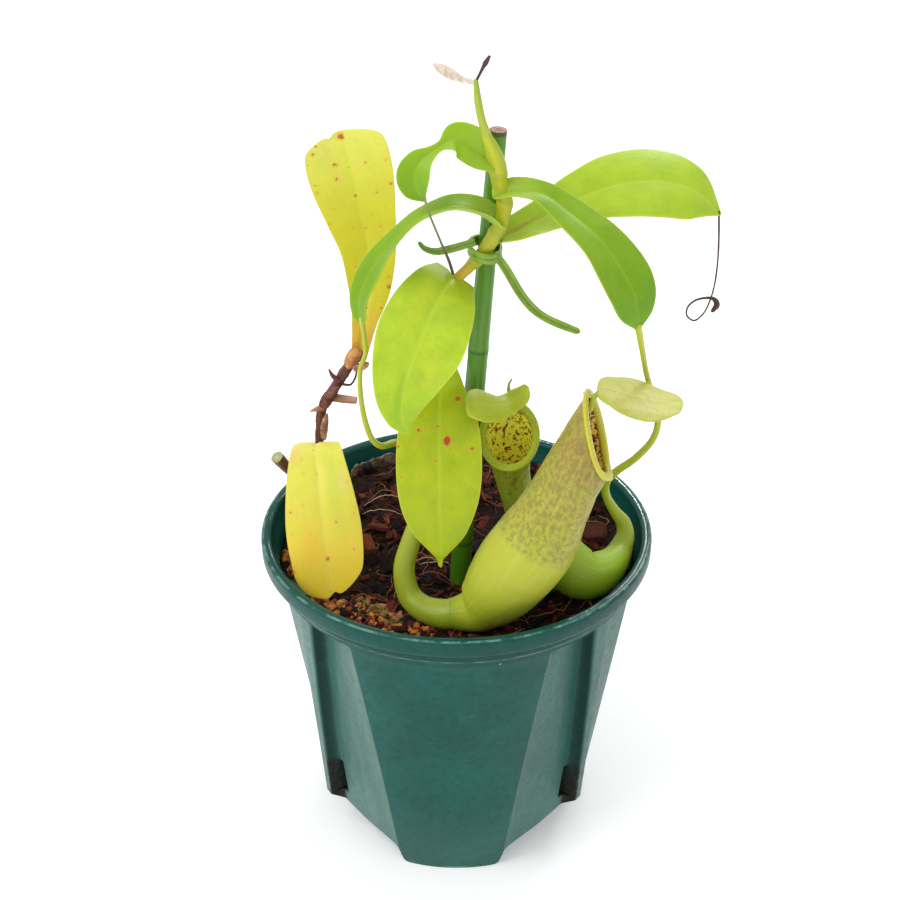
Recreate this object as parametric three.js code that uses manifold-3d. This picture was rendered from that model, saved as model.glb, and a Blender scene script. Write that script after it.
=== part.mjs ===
// A pitcher plant growing in a small slit pot of moulded plastic, tied to a bamboo stake.
// Millimetres, +Z up. The pieces are placed from the pot's axis, and the finished plant is then
// moved so that the origin is the middle of its whole footprint, on the surface it stands on.
import * as THREE from "three";
import { mergeVertices } from "three/addons/utils/BufferGeometryUtils.js";
import Module from "manifold-3d";

const wasm = await Module();
wasm.setup();

// Driving dimensions
const touchGap = 0.3;
const pot = {
  rimRadius: 52.5, height: 88, lipDepth: 5, lipInnerRadius: 49.7,
  collarRadius: 49.3, collarBottom: 77, ledge: 1.5, topRadius: 48.6, baseRadius: 37,
  wall: 1.4, floorTop: 14, floorUnderside: 12.5, turn: -2.3,
  facetTop: 32, facetBase: 22, recessTop: 6.2, recessBase: 1.8,
  ridgeTop: 5.8, ridgeBase: 2, ridgeCurve: 1.8, ridgeOutTop: 46.4, ridgeOutBase: 40.2, ridgeFoot: 12, footShare: 0.93, footSide: 5, skirt: 6, cornerFoot: 9.5,
  slitWidth: 2.2, slitTop: 24, slitInnerRadius: 22, slitOffset: 4.2,
};
const mix = { level: 79, slope: 0.09, bumps: 0.7, floorGap: touchGap };

// Small helpers
const vector = (p) => new THREE.Vector3(p[0], p[1], p[2]);
const mixed = (a, b, t) => a + (b - a) * t;
const clamped = (v) => Math.min(1, Math.max(0, v));
const radians = (degrees) => (degrees * Math.PI) / 180;
const polar = (radius, angle, z) => vector([radius * Math.cos(angle), radius * Math.sin(angle), z]);

// A smooth path through stations [x, y, z, width], read at t from 0 to 1.
function smooth(stations) {
  const places = new THREE.CatmullRomCurve3(stations.map(vector), false, "catmullrom", 0.5);
  const widths = new THREE.CatmullRomCurve3(
    stations.map((s) => vector([s[3] ?? 0, 0, 0])), false, "catmullrom", 0.5);
  return { at: (t) => places.getPoint(t), width: (t) => widths.getPoint(t).x };
}

// Points, directions and widths at equal steps of a smooth path.
function sampled(stations, steps) {
  const path = smooth(stations);
  const points = [];
  const widths = [];
  for (let i = 0; i <= steps; i++) {
    points.push(path.at(i / steps));
    widths.push(path.width(i / steps));
  }
  const along = points.map((_, i) => points[Math.min(i + 1, steps)].clone()
    .sub(points[Math.max(i - 1, 0)]).normalize());
  return { points, widths, along };
}

// One closed body through rings of equal length. Ends are closed by a fan, or the
// last ring joins the first one when looped.
function loft(rings, looped = false) {
  const count = rings[0].length;
  const positions = rings.flat().flatMap((p) => [p.x, p.y, p.z]);
  const faces = [];
  const spans = looped ? rings.length : rings.length - 1;
  for (let i = 0; i < spans; i++) {
    const next = (i + 1) % rings.length;
    for (let j = 0; j < count; j++) {
      const k = (j + 1) % count;
      faces.push(i * count + j, i * count + k, next * count + k);
      faces.push(i * count + j, next * count + k, next * count + j);
    }
  }
  const closeEnd = (ring, flip) => {
    const middle = rings[ring].reduce((s, p) => s.add(p), vector([0, 0, 0])).divideScalar(count);
    const centre = positions.length / 3;
    positions.push(middle.x, middle.y, middle.z);
    for (let j = 0; j < count; j++) {
      const a = ring * count + j;
      const b = ring * count + ((j + 1) % count);
      faces.push(centre, ...(flip ? [b, a] : [a, b]));
    }
  };
  if (!looped) {
    closeEnd(0, true);
    closeEnd(rings.length - 1, false);
  }
  const geometry = new THREE.BufferGeometry();
  geometry.setAttribute("position", new THREE.Float32BufferAttribute(positions, 3));
  geometry.setIndex(faces);
  return facingOut(geometry);
}

// Turns the faces round when the enclosed volume comes out negative.
function facingOut(geometry) {
  const p = geometry.attributes.position;
  const index = geometry.index.array;
  const corner = (i) => new THREE.Vector3().fromBufferAttribute(p, index[i]);
  let volume = 0;
  for (let i = 0; i < index.length; i += 3) {
    volume += corner(i).dot(corner(i + 1).cross(corner(i + 2)));
  }
  if (volume < 0) {
    for (let i = 0; i < index.length; i += 3) {
      [index[i + 1], index[i + 2]] = [index[i + 2], index[i + 1]];
    }
  }
  return geometry;
}

// Boolean joins and cuts
function solid(geometry) {
  const bare = geometry.clone();
  bare.deleteAttribute("normal");
  bare.deleteAttribute("uv");
  const merged = mergeVertices(bare, 1e-4);
  return new wasm.Manifold(new wasm.Mesh({
    numProp: 3,
    vertProperties: new Float32Array(merged.attributes.position.array),
    triVerts: new Uint32Array(merged.index.array),
  }));
}

function surface(body) {
  const mesh = body.getMesh();
  const geometry = new THREE.BufferGeometry();
  geometry.setAttribute("position", new THREE.Float32BufferAttribute(mesh.vertProperties, 3));
  geometry.setIndex([...mesh.triVerts]);
  return geometry;
}

// The largest piece that is left after the cutters are taken away.
function cut(geometry, cutters) {
  const left = cutters.reduce((body, cutter) => body.subtract(solid(cutter)), solid(geometry));
  return surface(left.decompose().sort((a, b) => b.volume() - a.volume())[0]);
}

const join = (geometries) => surface(
  geometries.map(solid).reduce((body, other) => body.add(other)));

// Round stalk along stations [x, y, z, radius].
function stalk({ stations, sides = 8, steps = (stations.length - 1) * 2, mouth }, grow = 0) {
  const rings = stalkRings({ stations, sides, steps, mouth }, grow);
  return loft(rings);
}

function stalkRings({ stations, sides, steps, mouth, rampFrom = 0.55 }, grow = 0) {
  const { points, widths, along } = sampled(stations, steps);
  const start = Math.abs(along[0].z) < 0.9 ? vector([0, 0, 1]) : vector([0, 1, 0]);
  let across = along[0].clone().cross(start).normalize();
  return points.map((point, i) => {
    const direction = along[i];
    across.addScaledVector(direction, -across.dot(direction)).normalize();
    const other = direction.clone().cross(across);
    // the ring's plane turns from square across the stalk to the plane of the mouth
    const turn = mouth ? THREE.MathUtils.smoothstep(i / steps, rampFrom, 1) : 0;
    const plane = mouth ? direction.clone().lerp(vector(mouth).normalize(), turn).normalize() : direction;
    const ring = [];
    for (let j = 0; j < sides; j++) {
      const angle = (2 * Math.PI * j) / sides;
      const offset = across.clone().multiplyScalar(Math.cos(angle))
        .addScaledVector(other, Math.sin(angle)).multiplyScalar(widths[i] + grow);
      const slide = -offset.dot(plane) / direction.dot(plane);
      ring.push(point.clone().add(offset).addScaledVector(direction, slide));
    }
    return ring;
  });
}

// Leaf blade: rib stations [x, y, z, half width] and the direction its upper face looks
// at the base, along the middle and at the tip. The section sags by `cup` and folds
// along the rib by `fold`, both as parts of the half width.
function blade(shape, grow = 0) {
  const { rib, face, tipRound = 0.1, baseRound = 0, cup = 0, fold = 0 } = shape;
  const { thickness = 1, steps = 12, spans = 4 } = shape;
  const { points, widths, along } = sampled(rib, steps);
  const facing = smooth(face);
  const rings = points.map((point, i) => {
    const t = i / steps;
    const tip = clamped((tipRound - (1 - t)) / tipRound);
    const base = baseRound ? clamped((baseRound - t) / baseRound) : 0;
    const rounding = Math.sqrt(Math.max(0, 1 - tip * tip)) * Math.sqrt(Math.max(0, 1 - base * base));
    const half = Math.max(widths[i] * rounding, 0.6) + grow;
    const side = along[i].clone().cross(facing.at(t)).normalize();
    const up = side.clone().cross(along[i]).normalize();
    const ring = [];
    for (const upper of [1, -1]) {
      for (let j = 0; j <= spans; j++) {
        const v = upper * (1 - (2 * j) / spans);
        const rise = half * (fold * Math.abs(v) + cup * v * v);
        const edge = mixed(0.5, 0.25, Math.abs(v) ** 3) * thickness + grow;
        ring.push(point.clone().addScaledVector(side, half * v)
          .addScaledVector(up, rise + upper * edge));
      }
    }
    return ring;
  });
  return loft(rings);
}

// Hollow pitcher: outer wall up to the mouth, a rolled lip, and the inner wall back down.
function pitcher(shape, grow = 0) {
  const { lip = 1.2, wall = 0.9, steps = 12, sides = 14, innerFrom = 4 } = shape;
  const outer = stalkRings({ ...shape, steps, sides }, grow);
  const normal = vector(shape.mouth).normalize();
  const top = outer[steps];
  const middle = top.reduce((s, p) => s.add(p), vector([0, 0, 0])).divideScalar(sides);
  const rolled = (outward, lift) => top.map((p) => p.clone()
    .addScaledVector(p.clone().sub(middle).normalize(), outward).addScaledVector(normal, lift));
  if (grow > 0) return loft([...outer, rolled(lip, -grow), rolled(lip, 1.4 + grow)]);
  const inner = stalkRings({ ...shape, steps, sides }, -wall);
  const lipRings = [rolled(lip, 0.2), rolled(lip, 1.0), rolled(-0.2, 1.4), rolled(-wall - 0.5, 0.6)];
  return loft([...outer, ...lipRings, ...inner.slice(innerFrom).reverse()]);
}

// Lump of bark: a rough twelve-cornered body, longer than it is thick.
function lump({ at, size, turn }, grow = 0) {
  const geometry = new THREE.IcosahedronGeometry(1, 0);
  geometry.scale(size[0] + grow, size[1] + grow, size[2] + grow);
  geometry.applyMatrix4(new THREE.Matrix4().makeRotationFromEuler(
    new THREE.Euler(radians(turn[0]), radians(turn[1]), radians(turn[2]))));
  return geometry.translate(at[0], at[1], at[2]);
}

// Flat band with a rectangular section, `width` tall and `thickness` thick, along a path.
function band({ path, width, thickness, looped, tall = [0, 0, 1] }, grow = 0) {
  const last = path.length - 1;
  const rings = path.map((p, i) => {
    const before = looped ? path[(i + last) % path.length] : path[Math.max(i - 1, 0)];
    const after = looped ? path[(i + 1) % path.length] : path[Math.min(i + 1, last)];
    const along = vector(after).sub(vector(before)).normalize();
    const out = along.clone().cross(vector(tall)).normalize();
    const up = out.clone().cross(along).normalize();
    return [[1, 1], [1, -1], [-1, -1], [-1, 1]].map(([a, b]) => vector(p)
      .addScaledVector(out, a * (thickness / 2 + grow)).addScaledVector(up, b * (width / 2 + grow)));
  });
  return loft(rings, looped);
}

// The scene graph
const plant = new THREE.Group();
const finish = {
  potPlastic: { color: 0x37695f, roughness: 0.45, metalness: 0 },
  mixBrown: { color: 0x3a2418, roughness: 0.95, metalness: 0 },
  bark: { color: 0x6b3a22, roughness: 0.9, metalness: 0 },
  husk: { color: 0x9a8c78, roughness: 0.9, metalness: 0 },
  bamboo: { color: 0x3c7a3c, roughness: 0.5, metalness: 0 },
  tie: { color: 0x4f9440, roughness: 0.4, metalness: 0 },
  stemGreen: { color: 0xb9bf3e, roughness: 0.5, metalness: 0 },
  leafGreen: { color: 0x74b42c, roughness: 0.4, metalness: 0 },
  leafLime: { color: 0x9cc836, roughness: 0.4, metalness: 0 },
  leafYellow: { color: 0xe3d84a, roughness: 0.5, metalness: 0 },
  pitcherLime: { color: 0xb8c058, roughness: 0.45, metalness: 0 },
  lidPale: { color: 0xc6c878, roughness: 0.5, metalness: 0 },
  dryBrown: { color: 0x5a2d26, roughness: 0.85, metalness: 0 },
  papery: { color: 0xc9a988, roughness: 0.9, metalness: 0 },
};

function place(name, geometry, look) {
  const mesh = new THREE.Mesh(geometry, new THREE.MeshStandardMaterial(finish[look]));
  mesh.name = name;
  plant.add(mesh);
  return mesh;
}

// Pot: three feet, three tapering ridges between recessed panels, a collar and a lip.
// Azimuths are measured from the nearest foot's middle, in degrees, up to 60.
const bodyRadius = (z) => mixed(pot.baseRadius, pot.topRadius, z / pot.collarBottom);
const ridgeRise = (z) => clamped((z - pot.ridgeFoot) / (pot.collarBottom - pot.ridgeFoot));
const ridgeHalf = (z) => mixed(pot.ridgeBase, pot.ridgeTop, ridgeRise(z) ** pot.ridgeCurve);
const ridgeRadius = (z) => mixed(pot.ridgeOutBase, pot.ridgeOutTop, ridgeRise(z));

// Half a sector's corners at height z: [azimuth, recess depth, height of the wall's lower edge].
// A flank is straight in plan, from the facet's edge to the recess's inner corner. A ridge tapers
// less than the body, so it stands proud of it low down.
function sectorCorners(z, inset) {
  const facet = mixed(pot.facetBase, pot.facetTop, z / pot.collarBottom);
  const deep = mixed(pot.recessBase, pot.recessTop, z / pot.collarBottom);
  const moved = inset * 1.2;
  // a narrow ridge stays hollow inside, and narrower still for the mix that fills it
  const narrowest = 0.9 - 1.4 * Math.max(inset - pot.wall, 0);
  const ridge = 60 - Math.max(ridgeHalf(z) - moved, narrowest);
  const corner = ridge - 1;
  const outer = bodyRadius(z);
  const flank = (share, low) => {
    const azimuth = mixed(facet, corner, share);
    const after = Math.sin(radians(azimuth - facet));
    const before = Math.sin(radians(corner - azimuth));
    const across = Math.sin(radians(corner - facet));
    const radius = (outer * (outer - deep) * across) / (outer * after + (outer - deep) * before);
    return [azimuth, outer - radius, low];
  };
  return [
    [0, 0, 0], [facet * 0.5, 0, 0], [facet * pot.footShare, 0, 0], [facet, 0, pot.footSide],
    flank(0.08, pot.skirt), flank(0.55, pot.skirt + 1), [corner, deep, pot.cornerFoot],
    [ridge, outer - ridgeRadius(z), pot.ridgeFoot], [60, outer - ridgeRadius(z), pot.ridgeFoot],
  ];
}

// A ring of the wall at a share s of the height between its lower edge and the collar.
function wallRing(heightOf, inset, radiusShift = 0) {
  const ring = [];
  for (let sector = 0; sector < 3; sector++) {
    const middle = radians(-90 + pot.turn + 120 * sector);
    const count = sectorCorners(0, 0).length;
    const order = [];
    for (let j = count - 1; j > 0; j--) order.push([j, -1]);
    for (let j = 0; j < count - 1; j++) order.push([j, 1]);
    for (const [j, side] of order) {
      const low = sectorCorners(0, 0)[j][2];
      const z = heightOf(low);
      const [azimuth, deep] = sectorCorners(Math.min(z, pot.collarBottom), inset)[j];
      const radius = bodyRadius(Math.min(z, pot.collarBottom)) - deep - inset + radiusShift;
      ring.push(polar(radius, middle + radians(side * azimuth), z));
    }
  }
  return ring;
}

const roundRing = (radius, z) => wallRing(() => pot.collarBottom, 0)
  .map((p) => polar(radius, Math.atan2(p.y, p.x), z));
const innerWallRing = (z, inset = pot.wall) => wallRing(() => z, inset);
const poleRing = (z, like) => like.map((p) => vector([p.x * 0.02, p.y * 0.02, z]));

function potBody() {
  const shares = [0, 0.25, 0.5, 0.75, 1];
  const outside = shares.map((s) => wallRing((low) => mixed(low, pot.collarBottom, s), 0));
  const floorRing = innerWallRing(pot.floorTop);
  const inside = [0, 0.33, 0.67, 1].map((s) => innerWallRing(
    mixed(pot.floorTop, pot.collarBottom, s)));
  const lipLow = pot.height - pot.lipDepth;
  const rim = [
    roundRing(pot.collarRadius - pot.wall, pot.collarBottom + pot.ledge),
    roundRing(pot.collarRadius - pot.wall + 0.4, lipLow),
    roundRing(pot.lipInnerRadius, pot.height - 0.6), roundRing(pot.lipInnerRadius + 0.5, pot.height),
    roundRing(pot.rimRadius - 0.5, pot.height), roundRing(pot.rimRadius, pot.height - 0.6),
    roundRing(pot.rimRadius, lipLow + 0.4), roundRing(pot.rimRadius - 0.4, lipLow),
    roundRing(pot.collarRadius, lipLow), roundRing(pot.collarRadius, pot.collarBottom + 0.5),
  ];
  const skirt = [
    wallRing((low) => low, pot.wall), innerWallRing(pot.floorUnderside),
  ];
  const body = loft([
    poleRing(pot.floorTop, floorRing), ...inside, ...rim, ...outside.reverse(), ...skirt,
    poleRing(pot.floorUnderside, floorRing),
  ]);
  return cut(body, slits());
}

// Drainage slits on both sides of each ridge, through the wall and in over the floor.
function slits() {
  const length = pot.baseRadius + 12 - pot.slitInnerRadius;
  const height = pot.slitTop - pot.floorUnderside + 2;
  const cutters = [];
  for (let ridge = 0; ridge < 3; ridge++) {
    for (const side of [-1, 1]) {
      const box = new THREE.BoxGeometry(length, pot.slitWidth, height);
      box.translate(pot.slitInnerRadius + length / 2, 0, pot.slitTop - height / 2);
      box.rotateZ(radians(-90 + pot.turn + 60 + 120 * ridge + side * pot.slitOffset));
      cutters.push(box);
    }
  }
  return cutters;
}

// Surface of the potting mix: it rises a little to the back and is gently uneven.
const mixHeight = (x, y) => mix.level + mix.slope * y
  + mix.bumps * (Math.sin(x * 0.31 + y * 0.12) + Math.sin(y * 0.27 - x * 0.17 + 1.3)) * 0.6;

// The inside of the wall, less a small gap, at any height up to the lip.
function insideRing(z) {
  const inset = pot.wall + touchGap;
  if (z <= pot.collarBottom) return innerWallRing(z, inset);
  const ledge = innerWallRing(pot.collarBottom, inset);
  const collar = roundRing(pot.collarRadius - inset, z);
  const share = clamped((z - 2 * touchGap - pot.collarBottom) / pot.ledge);
  return ledge.map((p, i) => p.clone().lerp(collar[i], share).setZ(z));
}

function pottingMix(hollows) {
  const low = pot.floorTop + mix.floorGap;
  const heights = [low, 35, 56];
  const sides = heights.map(insideRing);
  const edge = sides[0].map((_, i) => {
    const guess = insideRing(mix.level)[i];
    return insideRing(mixHeight(guess.x, guess.y))[i];
  });
  // two rings below the edge, so that the mix fills the ledge under the collar
  const below = (limit, drop) => edge.map((p, i) => insideRing(Math.min(limit, p.z - drop))[i]);
  const fill = [below(pot.collarBottom, 0.6), below(pot.collarBottom + pot.ledge, 0.3)];
  const topRing = (share) => edge.map((p) => {
    const x = p.x * share;
    const y = p.y * share;
    return vector([x, y, mixHeight(x, y)]);
  });
  const shares = [0.88, 0.72, 0.54, 0.34, 0.15, 0.02];
  return cut(loft([poleRing(low, sides[0]), ...sides, ...fill, edge, ...shares.map(topRing)]), hollows);
}

// Stake and stems. Stations are [x, y, z, radius].
const stake = { stations: [[-0.8, -9, 52, 2.65], [4.6, -9, 136, 2.6], [9.8, -9, 207.5, 2.15]], steps: 4, sides: 12 };
const mainStem = {
  stations: [
    [-7, 12, 72, 2.1], [-5, 6, 103, 2], [-4, 1, 122.5, 1.9], [-3, -5, 144, 1.8], [-2, -10, 159.5, 1.7],
    [-0.5, -13.8, 169, 1.7], [2.7, -13.8, 173, 1.7], [5.9, -13.9, 176.8, 1.8], [8.2, -13.9, 180.5, 1.85],
    [10.2, -13.8, 184, 1.8], [11.2, -13.8, 188, 1.8], [11.4, -13.8, 192, 1.8], [10.5, -13.8, 196, 1.65],
    [9.6, -13.8, 200, 1.85], [8.5, -13.8, 204, 1.7], [6.8, -13.8, 208, 1.2],
  ],
};
const growingTip = {
  stations: [[7.5, -13.8, 206.5, 1.25], [5.8, -13.9, 212, 1], [4.9, -14, 216.5, 0.95], [4.3, -14, 222, 0.6]],
};
const dryTip = { stations: [[4.2, -14, 221.5, 0.35], [5.8, -14, 225, 0.4], [6.6, -14, 226.5, 0.65], [7.4, -14, 228, 0.35]] };
const oldStem = {
  stations: [
    [-37, 20, 72, 1.7], [-37.6, 20, 94, 1.5], [-37.5, 20, 103.5, 1.35], [-37, 20, 110, 1.35],
    [-36, 20, 114.5, 1.5], [-33.6, 20, 118.5, 1.6], [-31, 20, 123, 1.6], [-28.5, 20.5, 127, 1.8],
    [-26.4, 21, 129.7, 2],
  ],
};
const oldStemStub = { stations: [[-34, 20, 117, 1.2], [-30.5, 19.5, 116.7, 1.1], [-27, 19, 116.5, 1]], steps: 3 };
const cutSideStem = { stations: [[-37.6, 20, 88.5, 1.5], [-42.3, 19.5, 91, 1.6], [-46, 18, 95.5, 1.6], [-48.8, 15, 101, 1.7]] };

// Leaves. Rib stations are [x, y, z, half width].
const leaves = {
  leaf_yellow_upright: {
    look: "leafYellow", cup: 0.05, fold: 0.1, tipRound: 0.08, face: [[0.1, -1, 0.3], [0.1, -1, 0.3]],
    rib: [[-26, 21, 129, 2.2], [-24.5, 22, 139, 3.4], [-23, 23, 148.5, 5.6], [-23.2, 24, 160, 7.4],
      [-25, 24.5, 169.5, 9.2], [-27, 25, 179, 10.8], [-28.6, 25, 187, 10.8], [-29.8, 25, 192.5, 8.6]],
  },
  leaf_yellow_drooping: {
    look: "leafYellow", cup: -0.05, fold: 0.1, tipRound: 0.12,
    face: [[0, 0.6, 1], [0, 0, 1], [0, -0.4, 1], [0, -1, 0.7], [0, -1, 0.45], [0, -1, 0.3]],
    rib: [[-37.8, 20.5, 97, 2.2], [-37.5, 13, 105.5, 3.9], [-37.3, 5, 111, 6], [-36.8, -3, 110.6, 7.4],
      [-35.8, -10, 104.5, 9], [-34.8, -14, 96.5, 9.9], [-33.8, -16.5, 88, 9.3], [-33.2, -18.5, 80, 7.2]],
  },
  leaf_left_arching: {
    look: "leafGreen", cup: 0.05, fold: 0.15, tipRound: 0.04, steps: 18,
    face: [[0.2, -0.3, 1], [0, 0, 1], [-0.5, 0, 0.8], [-0.9, -0.2, 0.6], [-0.9, -0.6, 0.2], [-0.7, -0.9, 0]],
    rib: [[10.5, -13.8, 184.5, 2.8], [6, -15, 188.5, 4], [0, -16, 190.5, 4.5], [-5, -17, 190, 4.7],
      [-9.7, -18, 188, 4.5], [-13.7, -19, 184.5, 4.2], [-17.6, -20, 180, 4.2], [-21, -21, 175, 4],
      [-23.6, -22, 169, 3], [-23.4, -23, 162.8, 2]],
  },
  leaf_right_front: {
    look: "leafGreen", cup: -0.05, fold: 0.12, tipRound: 0.09,
    face: [[-0.2, -0.4, 1], [0.2, -0.4, 0.9], [0.6, -0.6, 0.7], [0.7, -0.9, 0.4], [0.7, -0.9, 0.3]],
    rib: [[10.6, -13.8, 192.3, 2.4], [14, -15, 194.5, 3], [20, -17, 194.5, 3.6], [25.7, -19.5, 191.5, 4.8],
      [33.2, -24, 186.5, 6.4], [37.8, -26.5, 181, 7.4], [41.5, -28.5, 175, 7.3], [43, -29.5, 169.5, 5.6],
      [43.5, -30, 164.5, 1.2]],
  },
  leaf_right_back: {
    look: "leafLime", cup: -0.1, fold: 0.08, tipRound: 0.1,
    face: [[-0.4, -0.5, 1], [-0.2, -0.5, 1], [0, -0.5, 1], [0.2, -0.5, 1], [0.7, -0.5, 0.8]],
    rib: [[9.5, -13.8, 180.5, 2.4], [13.6, -11, 180.5, 3.6], [18, -8, 181.5, 4.4], [23.3, -5, 183.5, 5.4],
      [31, 0, 185.5, 7.6], [40.5, 4, 187, 10.2], [50.5, 7, 186.5, 10.8], [59.7, 9, 183, 8.6],
      [66.8, 10, 176, 1.6]],
  },
  leaf_upper_left: {
    look: "leafGreen", cup: 0.1, fold: 0.25, tipRound: 0.08,
    face: [[0, -0.5, 1], [-0.3, -0.4, 1], [-0.7, -0.6, 0.8], [-0.6, -1, 0.2], [-0.4, -1, 0]],
    rib: [[8.8, -13.8, 201, 2.6], [4.5, -14, 203.2, 3.4], [0.5, -14, 205.5, 3.5], [-3.2, -14.5, 206.3, 3.3],
      [-6.2, -16, 204.5, 4.2], [-8.4, -18, 202, 5], [-8.6, -19, 198, 4.4], [-7.7, -19.5, 193.8, 1]],
  },
  leaf_front: {
    look: "leafLime", cup: -0.05, fold: 0.08, tipRound: 0.12,
    face: [[0.4, -0.5, 1], [0, -1, 0.6], [0, -1, 0.3], [0, -1, 0.2]],
    rib: [[-0.4, -13.9, 171, 6.2], [-3.1, -20, 170.2, 9], [-6.3, -26, 166.5, 11], [-8.7, -30, 160.5, 11.8],
      [-10.7, -32, 152.5, 11], [-12, -33, 144, 8.4], [-12.1, -33, 137, 2.4]],
  },
  leaf_low_front: {
    look: "leafLime", cup: -0.05, fold: 0.06, tipRound: 0.04,
    face: [[0, -0.8, 0.8], [0, -1, 0.4], [0, -1, 0.3]],
    rib: [[-2.8, -6, 144.3, 1.6], [-3.5, -12, 141.7, 4.6], [-4.3, -18, 138.2, 7.8], [-4.5, -23, 132.4, 10.2],
      [-4.5, -27, 123, 10.8], [-4.5, -29, 114, 9.8], [-4.3, -30.5, 106.4, 6.8], [-4.3, -31, 101, 2.6],
      [-4.3, -31, 98.6, 0.8], [-4.2, -31, 96.2, 0.6]],
  },
};

// Tendrils, living and dry
const tendrilLeft = {
  stations: [
    [-23.2, -23, 164, 0.8], [-22.5, -23, 159.5, 0.8], [-22.4, -23, 154.7, 0.9], [-23.7, -23.5, 150.5, 0.8],
    [-24, -24, 146, 0.8],
    [-23.6, -24, 140, 0.85], [-22.7, -24, 134.7, 0.85], [-21.3, -23, 129.8, 0.85], [-19, -21, 126.5, 0.9],
    [-15.5, -17, 125, 1], [-11.7, -14, 122, 1.15], [-8.4, -13, 118, 1.4], [-7.2, -14, 112.5, 1.7],
    [-8.5, -16.5, 106, 2.1], [-11.6, -19.5, 97.6, 2.5], [-13.7, -22, 90, 2.8], [-12.5, -24.5, 83.5, 3.1],
    [-8.8, -27, 80.6, 3.5], [-3.8, -28.5, 79.8, 4], [0, -29.3, 80.5, 4.3],
  ],
};
const tendrilRight = {
  stations: [
    [43.5, -29.7, 165.5, 0.9], [45.5, -22, 154.8, 0.75], [47.4, -15.5, 144.8, 0.7], [49.5, -12.5, 136.5, 0.8],
    [51.5, -11, 129, 0.85], [50.6, -10, 122, 0.9], [46.6, -8, 115, 1], [41.8, -6, 109.5, 1.05],
    [39.4, -4, 104.5, 1.1], [40, -2, 99, 1.15], [42.4, -1, 94, 1.3], [44.6, -0.5, 90.5, 1.6],
    [45.2, -1.5, 87.4, 2.2], [44.3, -4, 84.9, 3],
  ],
};
const dryTendrilRight = {
  sides: 6,
  stations: [
    [66.2, 9.8, 177, 0.45], [66.6, 9.2, 169, 0.4], [66.6, 9, 162.5, 0.4], [66.2, 9, 156.5, 0.4],
    [65.3, 9, 152, 0.4], [63.8, 8, 149, 0.4], [61.4, 7, 147.4, 0.4], [59.4, 7, 148.8, 0.4],
    [59.6, 8, 150.8, 0.4], [61.8, 9.2, 152.2, 0.4], [65, 10.8, 152, 0.45], [66.8, 11.2, 151.3, 0.7],
    [67.5, 11.4, 149.7, 0.9], [66.5, 11.4, 147.9, 0.6],
  ],
};
const dryTendrilUpper = {
  sides: 6,
  stations: [
    [-7.7, -19.6, 195, 0.5], [-7.3, -21.8, 193.4, 0.45], [-6.2, -23, 190.8, 0.45], [-4.8, -22, 186.5, 0.45],
    [-3.4, -19.6, 181.5, 0.5], [-2, -17.6, 177, 0.6], [-1, -16.2, 172.8, 0.45],
  ],
};

// Pitchers and their lids
const largePitcher = {
  mouth: [0.88, -0.28, 0.38], innerFrom: 4,
  stations: [
    [-0.6, -29.2, 80.4, 4.3], [4.5, -29.8, 82, 6], [7.8, -29.8, 85, 8], [11.4, -29.5, 89.5, 9.8],
    [15, -29, 95, 10.7], [18.7, -28.5, 100.5, 10.6], [21.4, -28, 105.7, 9.7], [24.4, -27.5, 112, 8.7],
    [28.5, -27, 120.7, 8.1], [31.6, -26.5, 127.5, 7.6], [34.2, -26, 132.7, 7.4],
  ],
};
const smallPitcher = {
  mouth: [-0.05, -0.85, 0.5], innerFrom: 4, rampFrom: 0.75, steps: 16,
  stations: [
    [44.4, -3.8, 85.2, 3], [43, -6.5, 84, 4.4], [40.3, -9.5, 83.2, 5.9], [36.8, -12.5, 83.7, 7.5],
    [32.7, -13.5, 84.9, 8.2], [27.6, -12.5, 87.8, 8.1], [22.6, -11, 92.5, 7.3], [18, -10.5, 99.8, 6],
    [15, -10.5, 107.6, 5.5], [13.8, -12, 116, 6.1], [13.6, -13.3, 122.3, 6.8],
  ],
};
const lids = {
  large_pitcher_lid: {
    cup: -0.12, tipRound: 0.06, baseRound: 0.06, steps: 10, face: [[0, 0, 1], [0.35, -0.05, 1]],
    rib: [[32.5, -22.5, 143, 2.4], [36.5, -23.2, 144.5, 5.4], [40.8, -24, 144.2, 7.6], [45.8, -24.5, 142.8, 8.4],
      [50.8, -25, 141.4, 7], [54.8, -25, 141, 4.2], [56.2, -25, 141, 2]],
  },
  small_pitcher_lid: {
    cup: -0.15, tipRound: 0.12, baseRound: 0.1, steps: 10, face: [[0.6, -0.6, 0.7], [0, -0.7, 0.7], [-0.2, -0.7, 0.7]],
    rib: [[16.6, -8.6, 130, 2.4], [16.8, -12, 135.6, 3.2], [14.5, -14.4, 136.4, 4.4], [11.1, -15.6, 136, 4.8],
      [7.6, -16.2, 136, 5], [5.4, -16.4, 136.4, 4.4], [4.4, -16.4, 136.6, 2.6]],
  },
};

// Twist tie: an oval band round the stake and the stem, with two flat tails
const tieOval = { middle: [6.7, -11.4, 177.2], halfX: 4.1, halfY: 5.5, count: 20 };
const tieBand = {
  width: 3, thickness: 0.7, looped: true,
  path: Array.from({ length: tieOval.count }, (_, i) => {
    const angle = (2 * Math.PI * i) / tieOval.count;
    return [tieOval.middle[0] + tieOval.halfX * Math.cos(angle),
      tieOval.middle[1] + tieOval.halfY * Math.sin(angle),
      tieOval.middle[2] - 0.15 * tieOval.halfX * Math.cos(angle)];
  }),
};
const tieTails = [
  { stations: [[3, -13.5, 177.5, 1], [0, -14.2, 177.6, 1], [-4.9, -14.4, 177.6, 0.9], [-9.3, -14.2, 179.5, 0.6]] },
  { stations: [[9.6, -15, 177, 1], [12, -14.6, 173, 1.1], [15.5, -14.4, 166.5, 1.1], [18.5, -14.3, 162.4, 1.1],
    [21.8, -14.2, 159.6, 1], [26, -14.1, 157.4, 1], [30.6, -14, 155.4, 0.8]] },
];
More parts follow.
